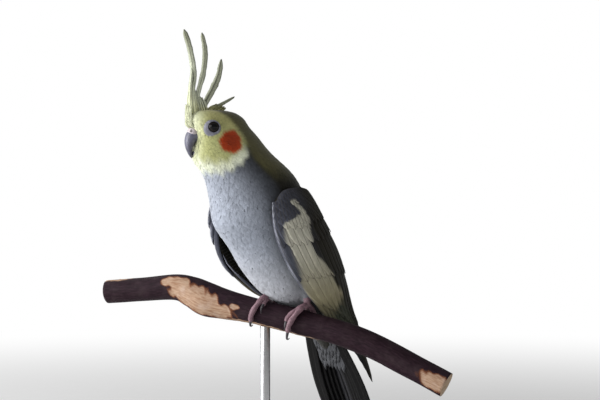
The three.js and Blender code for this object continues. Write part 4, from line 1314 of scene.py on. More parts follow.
def wing_vanes(plumage, random):
    """The left wing's vanes: places, normals, colours and own maps."""
    vanes = []
    for tier in WING_TIERS:
        for row in range(tier["rows_of"]):
            for i in range(tier["vanes"]):
                share = (i + 0.5 * (row % 2)) / (tier["vanes"] - 1)
                down = (tier["step"] * row, 0)
                root = mix(*np.array(tier["root"]), share) + down
                tip = mix(*np.array(tier["tip"]), share)
                tip[0] += random.normal(0, TIP_SHIFT)
                wide = tier["wide"] * random.uniform(0.95, 1.05)
                lower = (tier["vanes"] - 1 - i) * tier["stack"]
                fixed = (tier["round"], lower, tier["level"], tier["rise"])
                vanes.append((*root, *(tip + down), wide, *fixed))
    root_t, root_w, tip_t, tip_w, wide, full_from, lower, level, rise = (
        values[:, None, None] for values in np.array(vanes).T
    )
    v = (1 - (1 - np.linspace(0, 1, WING_ROWS)) ** 1.3)[None, :, None]
    u = np.linspace(-1, 1, WING_COLS)[None, None, :]
    t_mid = mix(root_t, tip_t, v)
    w_mid = mix(root_w, tip_w, v)
    quarters = wing_skin(t_mid, 0 * w_mid + 0.75) - wing_skin(t_mid, 0 * w_mid + 0.25)
    spread = np.linalg.norm(quarters, axis=-1) * 2
    across = u * wide / 2 * vane_width(v, full_from)
    w = w_mid + across / spread
    t = np.broadcast_to(t_mid, w.shape) - CHEVRON * np.abs(u) ** 2 * (v > 0.5)
    depth = tier_depth(level, t) + lower + across * SHINGLE
    depth = depth - VANE_ARCH * (1 - np.abs(u)) * (1 - 0.5 * v) + rise * (1 - v)
    curl = np.maximum(0, -w) * spread
    w = np.maximum(w, 0.06 * w)
    rims = np.maximum(smoothstep(w, 0.7, 0.95), 1 - smoothstep(w, 0.05, 0.3))
    depth = depth + RIM_SINK * smoothstep(v, 0.7, 1) * rims
    depth = depth + FRONT_SINK * (1 - smoothstep(w, 0, 0.14)) * (1 - smoothstep(t, 0.25, 0.4))
    within = np.clip(t, 0, 1)
    depth = depth + curl + BACK_SINK * smoothstep(w, 0.88, 1.02) + bend_sink(within, np.clip(w, 0, 1))
    places = wing_point(within, w, depth)
    end_run = wing_skin(np.full_like(t, 1.0), w) - wing_skin(np.full_like(t, 0.98), w)
    places = places + end_run * (np.maximum(t - 1, 0) / 0.02)[..., None]
    normals = wing_normal(within, w)
    ragged = random.normal(0, 0.012, (len(vanes), 1, 1))
    mark_w = w_mid * 0.3 + w * 0.7 + ragged * smoothstep(w, 0.02, 0.1) - 0.03 * smoothstep(curl, 0.2, 1.0)
    streak = random.normal(1, 0.05, (len(vanes), 1, WING_COLS, 1))
    colours = wing_marking(t, mark_w, plumage) * random.normal(1, 0.05, (len(vanes), 1, 1, 1)) * streak
    edge = smoothstep(-u, 0.7, 1.0) * smoothstep(v, 0.1, 0.4)
    colours = colours * (1 + PALE_RIM * edge[..., None])
    along = np.broadcast_to(v * 22, w.shape) + BARB_SHIFT * random.random((len(vanes), 1, 1))
    return places, normals, colours, np.broadcast_to(across, w.shape), along


def wing_core(side, plumage):
    """The flesh and quills under the wing's vanes, a closed shell."""
    bm = bmesh.new()
    bmesh.ops.create_grid(bm, x_segments=24, y_segments=40, size=1)
    co = np.array([vert.co for vert in bm.verts])
    w = mix(0.015, 0.985, (co[:, 0] + 1) / 2)
    t = mix(0.0, 0.56, (co[:, 1] + 1) / 2)
    top = tier_depth(8 * t - 0.2, t) + 1.0 * (1 - w) * smoothstep(t, 0, 0.2)
    depth = np.maximum(1.2, top) + bend_sink(t, w) * 0.8
    for vert, place in zip(bm.verts, wing_point(t, w, depth) * (side, 1, 1)):
        vert.co = place
    bmesh.ops.recalc_face_normals(bm, faces=bm.faces)
    bm.normal_update()
    if np.mean([face.normal.x * side for face in bm.faces]) < 0:
        bmesh.ops.reverse_faces(bm, faces=bm.faces)
    bmesh.ops.solidify(bm, geom=bm.faces[:], thickness=2.2)
    mesh = mesh_from_bmesh("core", bm)
    paint(mesh, "plumage", np.array(plumage.flight))
    mesh.uv_layers.new(name="Vane")
    return mesh


class COCKATIEL_OT_wings(bpy.types.Operator):
    """Lays the coverts and flight feathers of both folded wings in their tiers"""

    bl_idname = "cockatiel.wings"
    bl_label = "Wings"

    def execute(self, context):
        plumage = context.scene.cockatiel_plumage
        vane = feather_material(
            "Wing feathers", rough=0.65, sheen=0.03, barbs=2.4, shaft=0.28, contrast=0.12, bump=0.35,
            shaft_colour=(0.06, 0.055, 0.05),
        )
        for name, side in SIDES:
            random = np.random.default_rng(plumage.seed + 20 + side)
            vanes = wing_vanes(plumage, random)
            if side < 0:
                vanes = [values[:, :, ::-1] for values in vanes]
            places, normals, colours, across, along = vanes
            mirror = np.array((side, 1, 1))
            places, normals = places * mirror, normals * mirror
            label = "wing_feathers_" + name
            mesh = vanes_mesh(label, places, normals, WING_VANE_THICK, colours, across, along)
            finish_object(label, mesh, vane, "wing_plumage", "wing_" + name)
            finish_object("wing_core_" + name, wing_core(side, plumage), vane, "wing_plumage")
        return {"FINISHED"}


# Tail

TAIL_LENGTHS = (1, 0.88, 0.74, 0.64, 0.57, 0.52)  # of each pair, from the middle of the fan to its sides
TAIL_LONG = 150
TAIL_WIDE = 9.6
TAIL_PITCH = 3.35
TAIL_LEVEL = 0.86  # how far one pair lies over the next
TAIL_VANE_THICK = 0.16
TAIL_ROWS = 19
TAIL_COLS = 7
COVERT_TIERS = 6
COVERTS_ACROSS = 7
COVERT_WIDE = 6.2
COVERT_VANE_THICK = 0.1
COVERT_ROWS = 7
COVERT_COLS = 5


def tail_vanes(plumage, random):
    """The twelve long feathers: places, colours and own maps."""
    v = np.linspace(0, 1, TAIL_ROWS)[:, None]
    u = np.linspace(-1, 1, TAIL_COLS)[None, :]
    places, colours, across, along = [], [], [], []
    for pair, long in enumerate(TAIL_LENGTHS):
        for side in (1, -1):
            over = TAIL_LEVEL if pair == 0 and side > 0 else 0
            level = (len(TAIL_LENGTHS) / 2 - pair) * TAIL_LEVEL + over
            spread = mix(0.5, 1, smoothstep(v * long, 0, 0.4))
            middle = side * (pair + 0.5) * TAIL_PITCH * spread
            off = u * TAIL_WIDE / 2 * vane_width(v, mix(0.5, 0.82, pair / 5))
            arch = 0.35 * (1 - u**2) * smoothstep(v, 0.1, 0.5)
            bend = random.normal(0, 0.25) * v**2
            places.append(tail_point(v * long, middle + off + bend, level + arch))
            top = np.array(plumage.tail_top if pair < 2 else plumage.tail_under)
            rim = smoothstep(u * side, 0.72, 1.0)[..., None]
            tone = mix(top * 0.8, top, smoothstep(v, 0, 0.5)[..., None])
            colours.append(mix(tone, top * 1.9, rim * 0.8) * random.normal(1, 0.04) + 0 * off[..., None])
            across.append(off)
            along.append(v * long * TAIL_LONG + 0 * off + random.random() * BARB_SHIFT)
    return (np.stack(list(v)) for v in (places, colours, across, along))


def tail_covert_vanes(plumage, random):
    """The short feathers over and under the tail's root."""
    places, colours, across, along, normals = [], [], [], [], []
    v = np.linspace(0, 1, COVERT_ROWS)[:, None]
    u = np.linspace(-1, 1, COVERT_COLS)[None, :]
    for side, long_share, crown, fall, base in (
        # the coverts over the tail take the back's colour, with its painted shade
        (1, 0.13, 4.4, 3.2, np.array(plumage.shaded_mantle) * 1.5),
        (-1, 0.16, 3.4, 1.6, np.array(plumage.belly) * 0.2),
    ):
        for row in range(COVERT_TIERS):
            for i in range(COVERTS_ACROSS):
                x = mix(-10.5, 10.5, (i + 0.5 * (row % 2)) / (COVERTS_ACROSS - 0.5))
                start = mix(0.0, 0.13, row / (COVERT_TIERS - 1))
                long = long_share * random.uniform(0.92, 1.08)
                off = u * COVERT_WIDE / 2 * vane_width(v, 0.5)
                rise = crown - fall * ((x + off) / 13) ** 2
                sink = 0.8 * (1.3 - 1.5 * v) + 0.12 * row
                across_x = (x + off) * mix(1, 0.82, v)
                places.append(tail_point(start + v * long, across_x, side * (rise - sink)))
                normals.append(np.broadcast_to(TAIL_UP * side, places[-1].shape))
                tone = random.normal(1, 0.06) * mix(0.8, 1.05, v)[..., None]
                colours.append(base * tone + 0 * off[..., None])
                across.append(off)
                along.append(v * 16 + 0 * off + random.random() * BARB_SHIFT)
    return (np.stack(list(v)) for v in (places, normals, colours, across, along))


class COCKATIEL_OT_tail(bpy.types.Operator):
    """Lays the twelve long tail feathers and the coverts at their root"""

    bl_idname = "cockatiel.tail"
    bl_label = "Tail"

    def execute(self, context):
        plumage = context.scene.cockatiel_plumage
        random = np.random.default_rng(plumage.seed + 40)
        vane = feather_material(
            "Tail feathers", rough=0.65, sheen=0.02, barbs=2.2, shaft=0.3, contrast=0.12, bump=0.35,
            shaft_colour=(0.03, 0.028, 0.028),
        )
        places, colours, across, along = tail_vanes(plumage, random)
        normals = np.broadcast_to(TAIL_UP, places.shape)
        mesh = vanes_mesh("tail_feathers", places, normals, TAIL_VANE_THICK, colours, across, along)
        finish_object("tail_feathers", mesh, vane, "tail_plumage", "tail")
        places, normals, colours, across, along = tail_covert_vanes(plumage, random)
        half = len(places) // 2
        places[half:], normals[half:] = places[half:, :, ::-1], normals[half:, :, ::-1]
        mesh = vanes_mesh("tail_coverts", places, normals, COVERT_VANE_THICK, colours, across, along)
        finish_object("tail_coverts", mesh, vane, "grey_plumage")
        return {"FINISHED"}


# Crest

# The long feathers: how blunt the tip is, how dark it turns and between which shares of the length, how dark
# a line the shaft makes, and the shaft itself
CREST = (
    {
        "wide": 3.5, "twist": -60, "blunt": 16, "dark": 0.7, "from": (0.4, 0.95), "line": 0,
        "shaft": (
            (-0.4, -57.2, 114), (-0.5, -58.4, 128), (-0.5, -57.2, 141), (-0.3, -59.4, 155), (0, -63, 166.4)
        ),
    },
    {
        "wide": 3.0, "twist": -72, "blunt": 12, "dark": 0.6, "from": (0.2, 0.7), "line": 0,
        "shaft": (
            (0.8, -54, 115), (0.9, -55.2, 128), (1, -51.8, 142), (1.2, -50.8, 154), (1.4, -52.8, 164.8)
        ),
    },
    {
        "wide": 4.3, "twist": -50, "blunt": 6, "dark": 0.5, "from": (0.1, 0.4), "line": 0.75,
        "shaft": (
            (0.4, -54, 115), (0.6, -50.4, 125), (0.9, -46.2, 133), (1.1, -42.8, 141), (1.2, -41.2, 150)
        ),
    },
    {
        "wide": 2.8, "twist": -40, "blunt": 6, "dark": 0.8, "from": (0.1, 0.5), "line": 0.2,
        "shaft": ((-0.2, -51, 117), (-0.2, -44.6, 122.4), (-0.1, -39.3, 125.2), (0, -32.8, 128.8)),
    },
    {
        "wide": 2.6, "twist": -30, "blunt": 6, "dark": 0.8, "from": (0.1, 0.5), "line": 0.2,
        "shaft": ((0.6, -49, 117.5), (0.7, -44.5, 121.2), (0.9, -40.8, 122.6)),
    },
)
CREST_COLUMN = 240  # feathers of the thick front bundle
CREST_TUFT = 80  # of the low tuft behind it
CREST_BROW = 90  # and of the short ones over the cere
# The bundle's front and back outlines: height, and how far forward
COLUMN_FRONT = ((112, 118, 124, 129, 135, 140, 152), (-60.6, -61.6, -61.6, -60.9, -59.6, -58.8, -59.8))
COLUMN_BACK = ((112, 118, 124, 129, 135, 140, 152), (-46, -48.5, -49.5, -51.5, -55.4, -56.4, -58))
CREST_ROWS = 22
CREST_COLS = 5
CREST_VANE_THICK = 0.12
CREST_CUP = 0.22


def crest_vane(shaft, wide, twist, random, frayed, blunt=6):
    """One narrow crest feather: places, normals and the distance off its shaft."""
    points = turn_neck(np.array(shaft, float))
    v = np.linspace(0, 1, CREST_ROWS)
    middle = spline(points, v)
    way = unit(spline(points, np.minimum(v + STEP, 1)) - spline(points, np.maximum(v - STEP, 0)))
    left = np.array((math.cos(HEAD_TURN), math.sin(HEAD_TURN), 0))
    side = unit(left - way * np.sum(left * way, -1, keepdims=True))
    out = np.cross(side, way)
    turn = math.radians(twist)
    side, out = side * math.cos(turn) + out * math.sin(turn), out * math.cos(turn) - side * math.sin(turn)
    u = np.linspace(-1, 1, CREST_COLS)
    half = wide / 2 * mix(0.5, 1, smoothstep(v, 0, 0.4)) * np.sqrt(1 - 0.96 * v**blunt)
    fray = 1 + random.normal(0, frayed, (CREST_ROWS, 1)) * (np.abs(u) > 0.9)
    off = u[None] * half[:, None] * fray
    cup = CREST_CUP * half[:, None] * u**2
    places = middle[:, None] + side[:, None] * off[..., None] - out[:, None] * cup[..., None]
    return places, np.broadcast_to(out[:, None], places.shape), off


class COCKATIEL_OT_crest(bpy.types.Operator):
    """Makes the crest, feather by feather"""

    bl_idname = "cockatiel.crest"
    bl_label = "Crest"

    def execute(self, context):
        plumage = context.scene.cockatiel_plumage
        random = np.random.default_rng(plumage.seed + 60)
        feathers = [crest_vane(f["shaft"], f["wide"], f["twist"], random, 0.05, f["blunt"]) for f in CREST]
        pale, dark = np.array(plumage.crest_pale), np.array(plumage.crest_dark)
        v = np.linspace(0, 1, CREST_ROWS)[:, None, None]
        u = np.linspace(-1, 1, CREST_COLS)[None, :, None]
        shaft_line = np.exp(-((u / 0.4) ** 2))
        grey = [
            mix(pale, dark, f["dark"] * smoothstep(v, *f["from"])) * (1 - f["line"] * shaft_line)
            for f in CREST
        ]
        face, crown = np.array(plumage.face), np.array(plumage.crown)
        for _ in range(CREST_COLUMN):
            back = random.uniform(0.04, 0.96)
            x = random.uniform(-3.6, 3.6)
            root = np.array((x, mix(-59.6, -48, back), mix(111.5, 116, back)))
            high = mix(151, 127, back**0.45) - 14 * random.random() ** 1.4
            if random.random() < 0.35:
                high = root[2] + random.uniform(4, 11)
            heights = np.array((mix(root[2], high, 0.5), high))
            front, behind = (np.interp(heights, *line) for line in (COLUMN_FRONT, COLUMN_BACK))
            y = mix(front + 0.5, behind - 0.5, back)
            shaft = (root, (x * 0.8, y[0], heights[0]), (x * 0.3, y[1], heights[1]))
            wide = random.uniform(1.1, 2.3)
            feathers.append(crest_vane(shaft, wide, random.uniform(-85, -15), random, 0.1))
            # paler copies of the face, crown and crest colours: partly the bundle's cream-yellow base, partly
            # painted light on its front
            low = mix(mix(np.array(plumage.collar), face * 1.7, 0.4) * 1.1, crown * 1.4, back)
            tone = mix(pale * 1.35, dark, min(0.6, abs(random.normal(0, 0.2))))
            grey.append(mix(low, tone, smoothstep(v, 0.2, 0.9)) * random.normal(1, 0.07))
        for _ in range(CREST_TUFT):
            back = random.random()
            x = random.uniform(-3.4, 3.4)
            root = np.array((x, mix(-52, -44, back), mix(116, 117.4, back)))
            rise = mix(8.5, 4.5, back) * random.uniform(0.8, 1.05)
            lean = mix(0.95, 1.4, back) + random.normal(0, 0.08)
            mid = root + (-0.1 * x, lean * rise * 0.35, rise * 0.55)
            tip = root + (-0.3 * x, lean * rise, rise)
            wide = random.uniform(1.0, 1.7)
            feathers.append(crest_vane((root, mid, tip), wide, random.uniform(-60, 20), random, 0.15))
            grey.append(mix(crown, mix(crown, dark, 0.35), smoothstep(v, 0.2, 1)) * random.normal(1, 0.07))
        for _ in range(CREST_BROW):
            x = random.uniform(-4.6, 4.6)
            start = random.uniform(109.4, 115.5)
            root = np.array((x, -59.2 + 0.08 * x * x, start))
            mid = (x * 0.95, -61.9 + 0.09 * x * x, start + 2.6)
            tip = (x * 0.9, -61.8 + 0.09 * x * x, start + random.uniform(6.0, 9.0))
            feathers.append(crest_vane((root, mid, tip), random.uniform(1.0, 1.6), -9 * x, random, 0.12))
            # partly painted light: the short brow feathers made paler than the face, partly their own cream
            grey.append(mix(np.array(plumage.collar), face * 1.7, 0.25) * random.normal(1, 0.05) + 0 * v)
        places, normals, across = (np.stack(v) for v in zip(*feathers))
        colours = np.stack([np.broadcast_to(tones, places.shape[1:]) for tones in grey])
        along = np.broadcast_to(v[None, :, :, 0] * 40, across.shape)
        along = along + BARB_SHIFT * random.random((len(places), 1, 1))
        mesh = vanes_mesh("crest_feathers", places, normals, CREST_VANE_THICK, colours, across, along)
        plume = feather_material(
            "Crest feathers", rough=0.75, sheen=0.2, barbs=3.0, shaft=0.34, contrast=0.16, bump=0.4,
            shaft_colour=(0.07, 0.07, 0.045),
        )
        finish_object("crest_feathers", mesh, plume, "yellow_plumage", "crest")
        return {"FINISHED"}


# Bill and eyes

# The bill's middle lines: y, z, half width and half thickness
UPPER_BILL = np.array([
    (-50, 103.6, 0, 0),
    (-51, 104.2, 3.6, 3.6),
    (-54.4, 105.8, 4.3, 4.3),
    (-57.5, 105.6, 4.4, 4.2),
    (-59.3, 103, 4, 3.3),
    (-59.9, 99.6, 3.1, 2.3),
    (-59.5, 96.4, 2, 1.4),
    (-58.9, 94.2, 1, 0.8),
    (-58.5, 92.7, 0, 0),
], float)
LOWER_BILL = np.array([
    (-50, 95.6, 0, 0),
    (-51, 95.6, 2.9, 1.8),
    (-54.6, 95.6, 3.3, 2.1),
    (-57.2, 95.9, 2.8, 1.7),
    (-58.6, 96.2, 0, 0),
], float)
CERE = {"centre": (0, -57.6, 107.8), "half": (4.8, 3.4, 3.1)}
NOSTRIL = (3.7, -59.6, 108.4)
NOSTRIL_RADIUS = 0.95
NOSTRIL_DEEP = 0.9
BILL_TIP_SHADE = 0.62


def bowed_form(bm, rows, around, along):
    """Adds a closed form round a line that bows in the head's middle plane, from rows as the bill's."""

    def at(u, v):
        here = spline(rows, v)
        ahead = spline(rows, np.minimum(v + STEP, 1))
        behind = spline(rows, np.maximum(v - STEP, 0))
        way = unit(np.stack([ahead[:, 0] - behind[:, 0], ahead[:, 1] - behind[:, 1]], -1))
        side = np.sin(u * 2 * np.pi) * np.maximum(here[:, 2], 0)
        up = np.cos(u * 2 * np.pi) * np.maximum(here[:, 3], 0)
        return turn_neck(np.stack([side, here[:, 0] - way[:, 1] * up, here[:, 1] + way[:, 0] * up], -1))

    return round_body(bm, around, along, at)


def ball_form(bm, centre, half, around, along):
    """Adds a closed ball of three half widths, turned with the head."""

    def at(u, v):
        a = u * 2 * np.pi
        b = v * np.pi
        ball = np.stack([np.cos(a) * np.sin(b), np.sin(a) * np.sin(b), -np.cos(b)], -1)
        return turn_neck(np.array(centre) + ball * half)

    return round_body(bm, around, along, at)


class COCKATIEL_OT_bill(bpy.types.Operator):
    """Makes the bill, with the cere and the nostrils"""

    bl_idname = "cockatiel.bill"
    bl_label = "Bill"

    def execute(self, context):
        bare = context.scene.cockatiel_bare_parts
        horn = horn_material("Bill horn", bare.bill, paler(bare.bill, 1.8), rough=0.38, streaks=260.0)
        for name, rows in (("bill_upper", UPPER_BILL), ("bill_lower", LOWER_BILL)):
            bm = bmesh.new()
            bowed_form(bm, rows, 48, 48)
            mesh = mesh_from_bmesh(name, bm)
            flat = turn_neck(vertex_places(mesh), back=True)
            tip = smoothstep(-flat[:, 2], -101, -94)[:, None]
            paint(mesh, "shade", mix(1.0, BILL_TIP_SHADE, tip) * np.ones(3))
            finish_object(name + "_horn", mesh, horn, "bill_horn", name)
        bm = bmesh.new()
        ball_form(bm, CERE["centre"], CERE["half"], 64, 40)
        nostrils = [turn_neck(np.array(NOSTRIL) * (side, 1, 1)) for side in (1, -1)]
        centre = turn_neck(np.array(CERE["centre"], float))
        for vert in bm.verts:
            near = min(np.linalg.norm(np.array(vert.co) - hole) for hole in nostrils)
            sink = NOSTRIL_DEEP * max(0.0, 1 - (near / NOSTRIL_RADIUS) ** 2)
            vert.co += (Vector(centre) - vert.co).normalized() * sink
        mesh = mesh_from_bmesh("cere", bm)
        near = np.min([np.linalg.norm(vertex_places(mesh) - hole, axis=1) for hole in nostrils], axis=0)
        # the nostrils painted nearly black: painted shade in their hollows
        paint(mesh, "shade", mix(0.04, 1.0, smoothstep(near, 0.5, 1.15))[:, None] * np.ones(3))
        cere = bare_skin_material("Cere", bare.cere, paler(bare.cere, 0.7), rough=0.5)
        finish_object("cere", mesh, cere, "bill_horn")
        return {"FINISHED"}


# The lids and the bare ring round an eye, as a section: distance from the eye's axis and out from its middle
LID_SECTION = (
    (3.1, 2.1), (3.05, 2.7), (3.25, 2.98), (3.6, 2.9), (4.1, 2.6),
    (4.5, 2.3), (4.85, 1.8), (5.0, 1.0), (4.6, 0.2), (4.0, 0.5),
)
LID_RIM = 3.3
LID_SPREAD = (0.3, 1.55)  # how wide the bare ring is behind and above the eye, and before and below it
LID_STEPS = 56


def eye_frame(side):
    """The eye's place, turned with the head and looking a little forward of sideways."""
    centre = turn_neck(EYE * (side, 1, 1))
    with_head = Matrix.Rotation(HEAD_TURN - side * EYE_TOE_IN, 4, "Z")
    return Matrix.Translation(centre) @ (with_head @ Matrix.Rotation(side * math.pi / 2, 4, "Y"))


class COCKATIEL_OT_eyes(bpy.types.Operator):
    """Makes the eyes, their lids and the bare skin round them"""

    bl_idname = "cockatiel.eyes"
    bl_label = "Eyes"

    def execute(self, context):
        bare = context.scene.cockatiel_bare_parts
        gloss = eye_material(bare.iris)
        skin = bare_skin_material("Eye ring", bare.ring, paler(bare.ring, 0.6), rough=0.55)
        for name, side in SIDES:
            to_head = eye_frame(side)
            bm = bmesh.new()
            bmesh.ops.create_uvsphere(bm, u_segments=48, v_segments=32, radius=EYE_RADIUS)
            depth = [
                math.hypot(vert.co.x, vert.co.y) / EYE_RADIUS if vert.co.z > 0 else 1.0 for vert in bm.verts
            ]
            bmesh.ops.transform(bm, matrix=to_head, verts=bm.verts)
            mesh = mesh_from_bmesh("eye_" + name, bm)
            paint(mesh, "shade", np.array(depth)[:, None] * np.ones(3))
            finish_object("eyeball_" + name, mesh, gloss, "eye_gloss", "eye_" + name)
            bm = bmesh.new()
            ring = [bm.verts.new((r, 0, out)) for r, out in LID_SECTION]
            edges = [bm.edges.new((a, b)) for a, b in zip(ring, ring[1:] + ring[:1])]
            bmesh.ops.spin(
                bm, geom=ring + edges, axis=(0, 0, 1), angle=math.tau, steps=LID_STEPS, use_merge=True
            )
            bmesh.ops.remove_doubles(bm, verts=bm.verts, dist=1e-4)
            for vert in bm.verts:
                a = math.atan2(vert.co.y, vert.co.x)
                fold = 0.07 * math.sin(a * 23) + 0.05 * math.sin(a * 9 + 1)
                away = math.hypot(vert.co.x, vert.co.y)
                vert.co.z += fold * min(1, max(0, (away - LID_RIM) / 1.2))
                facing = 0.5 + 0.5 * math.cos(a - math.atan2(-1, side))
                if away > LID_RIM:
                    reach = LID_RIM + (away - LID_RIM) * mix(*LID_SPREAD, facing)
                    vert.co.xy = Vector(vert.co.xy) * (reach / away)
            bmesh.ops.transform(bm, matrix=to_head, verts=bm.verts)
            mesh = mesh_from_bmesh("eye_ring_" + name, bm)
            paint(mesh, "shade", np.ones(3))
            finish_object("eye_ring_" + name, mesh, skin, "yellow_plumage")
        return {"FINISHED"}


# Feet

SHANK_RADIUS = 2.6
BARK_RADIUS = 7.7  # of the branch between the feet


def shank_radius(v, a):
    return mix(ANKLE_RADIUS, SHANK_RADIUS, v) * round_ends(v, 0.1)


class COCKATIEL_OT_feet(bpy.types.Operator):
    """Makes the toes round the branch, the shanks and the claws"""

    bl_idname = "cockatiel.feet"
    bl_label = "Feet"

    def execute(self, context):
        bare = context.scene.cockatiel_bare_parts
        skin = bare_skin_material("Foot skin", bare.toes, paler(bare.toes, 0.6), rough=0.55)
        horn = horn_material("Claw horn", bare.claws, paler(bare.claws, 2.2), rough=0.35, streaks=300.0)
        for name, foot in FEET.items():
            bm = bmesh.new()
            for toe in foot["toes"].values():
                thick = toe[2]

                def toe_radius(v, a, thick=thick):
                    knuckle = 1 + 0.1 * np.cos(v * 6 * np.pi)
                    scale = 1 + 0.045 * np.abs(np.sin(v * 15 * np.pi))
                    return thick * knuckle * scale * round_ends(v, 0.09) * 0.98

                line = toe_point(foot, toe, np.array((0, 0.18, 0.4, 0.6, 0.8, 1)))
                tube(bm, line, toe_radius, 20, 72, BRANCH_WAY)
            shank = leg_line(foot)
            tube(bm, shank[:3], shank_radius, 24, 20, LEFT)
            mesh = mesh_from_bmesh("foot_" + name, bm)
            paint(mesh, "shade", np.ones(3))
            finish_object("toes_" + name, mesh, skin, "foot_skin", "foot_" + name)
            for number, toe in foot["toes"].items():
                self.make_claw(name, foot, number, toe, horn)
        return {"FINISHED"}

    def make_claw(self, name, foot, number, toe, horn):
        """Makes one claw, curved round the branch from over its toe's end."""
        spread, end, thick, _ = toe
        start = 1 - CLAW_ROOT / abs(end)
        centre = branch_point(branch_share(foot["ankle"] + spread), end, -BARK_RADIUS)
        t = np.array((0, 0.4, 0.75, 1))
        line = toe_point(foot, toe, mix(start, 2, t))
        out = unit(line - centre)
        line = line + out * (mix(0.2, 0.4 - thick, t * t) + 1.1 * np.sin(np.pi * t))[:, None]

        def claw_radius(v, a):
            return mix(thick * 0.68, 0.2, v**0.8) * round_ends(np.minimum(v, 0.5), 0.12)

        bm = bmesh.new()
        tube(bm, line, claw_radius, 20, 32, BRANCH_WAY)
        label = f"claw_{name}_{number}"
        mesh = mesh_from_bmesh(label, bm)
        paint(mesh, "shade", np.ones(3))
        finish_object(label + "_horn", mesh, horn, "claw_horn", label)


# Branch and stand

# Places with no bark: how far along, the angle from the top to the front, half the length, half the angle
BARE_PATCHES = (
    (-50, 98, 17, 52),
    (-63, 60, 9, 28),
    (-36, 118, 12, 36),
    (-69, 68, 2.2, 12),
    (-24, 84, 3.0, 12),
    (-14, 158, 22, 17),
    (14, 165, 20, 15),
    (34, 172, 12, 14),
    (-106, 8, 12, 20),
    (98, 96, 9, 42),
    (70, 176, 8, 14),
    (-20, -95, 13, 34),
    (62, -70, 10, 26),
)


KNOT_AT = -47
KNOT_LONG = 9
KNOT_ANGLE = 160
LUMP = 0.35
BARK_THICK = 0.3
MM_PER_DEGREE = 0.13  # round the bark
CUT_RIM = 0.97  # within this share of the radius a vertex of the branch's ends lies on the sawn face


def bare_share(along, angle):
    """How clear of bark the branch is at places along and round it: over a half is bare wood."""
    best = np.full(np.shape(along), -3.0)
    for middle, turn, half_long, half_turn in BARE_PATCHES:
        round_off = (angle - turn + 180) % 360 - 180
        best = np.maximum(best, 1 - ((along - middle) / half_long) ** 2 - (round_off / half_turn) ** 2)
    wander = 0.22 * np.sin(along * 0.55 + angle * 0.05) + 0.16 * np.sin(along * 1.3 - angle * 0.11)
    return np.clip(0.5 + 0.5 * (best + wander), 0, 1)


class COCKATIEL_OT_branch(bpy.types.Operator):
    """Makes the cut length of branch with its bark and its bare wood"""

    bl_idname = "cockatiel.branch"
    bl_label = "Branch"

    def execute(self, context):
        perch = context.scene.cockatiel_perch
        around, along = 72, 260
        bm = bmesh.new()
        bmesh.ops.create_cone(
            bm, cap_ends=True, cap_tris=False, segments=around, radius1=1, radius2=1, depth=2
        )
        upright = [edge for edge in bm.edges if abs(edge.verts[0].co.z - edge.verts[1].co.z) > 1]
        bmesh.ops.subdivide_edges(bm, edges=upright, cuts=along, use_grid_fill=True)
        caps = [face for face in bm.faces if abs(face.normal.z) > 0.9]
        bmesh.ops.inset_region(bm, faces=caps, thickness=0.05)
        bmesh.ops.poke(bm, faces=[face for face in bm.faces if len(face.verts) > 4])
        co = np.array([vert.co for vert in bm.verts])
        share = (co[:, 2] + 1) / 2
        rim = np.hypot(co[:, 0], co[:, 1])
        angle = np.degrees(np.arctan2(co[:, 0], co[:, 1]))
        stations = spline(BRANCH, share)
        bare = bare_share(stations[:, 0], angle)
        lumps = np.array([
            noise.noise((a * 0.05, math.cos(math.radians(b)) * 0.7, math.sin(math.radians(b)) * 0.7))
            for a, b in zip(stations[:, 0], angle)
        ])
        facing = np.maximum(0, np.cos(np.radians(angle - KNOT_ANGLE)))
        knot = 0.9 * np.exp(-(((stations[:, 0] - KNOT_AT) / KNOT_LONG) ** 2)) * facing
        out = LUMP * lumps + knot * 0.6 - BARK_THICK * smoothstep(bare, 0.42, 0.62)
        shrink = np.where(rim > CUT_RIM, out, (rim - 1) * stations[:, 2])
        for vert, place in zip(bm.verts, branch_point(share, angle, shrink)):
            vert.co = place
        mesh = mesh_from_bmesh("perch_branch", bm)
        end = (rim < CUT_RIM).astype(float)
        paint(mesh, "bare", np.stack([bare, end, end * 0], -1))
        corners = np.empty(len(mesh.loops), np.int32)
        mesh.loops.foreach_get("vertex_index", corners)
        store_map(mesh, "Bark", np.stack([stations[:, 0], np.abs(angle) * MM_PER_DEGREE], -1)[corners])
        finish_object("branch_bark", mesh, bark_material(perch), "bark", "perch_branch")
        return {"FINISHED"}


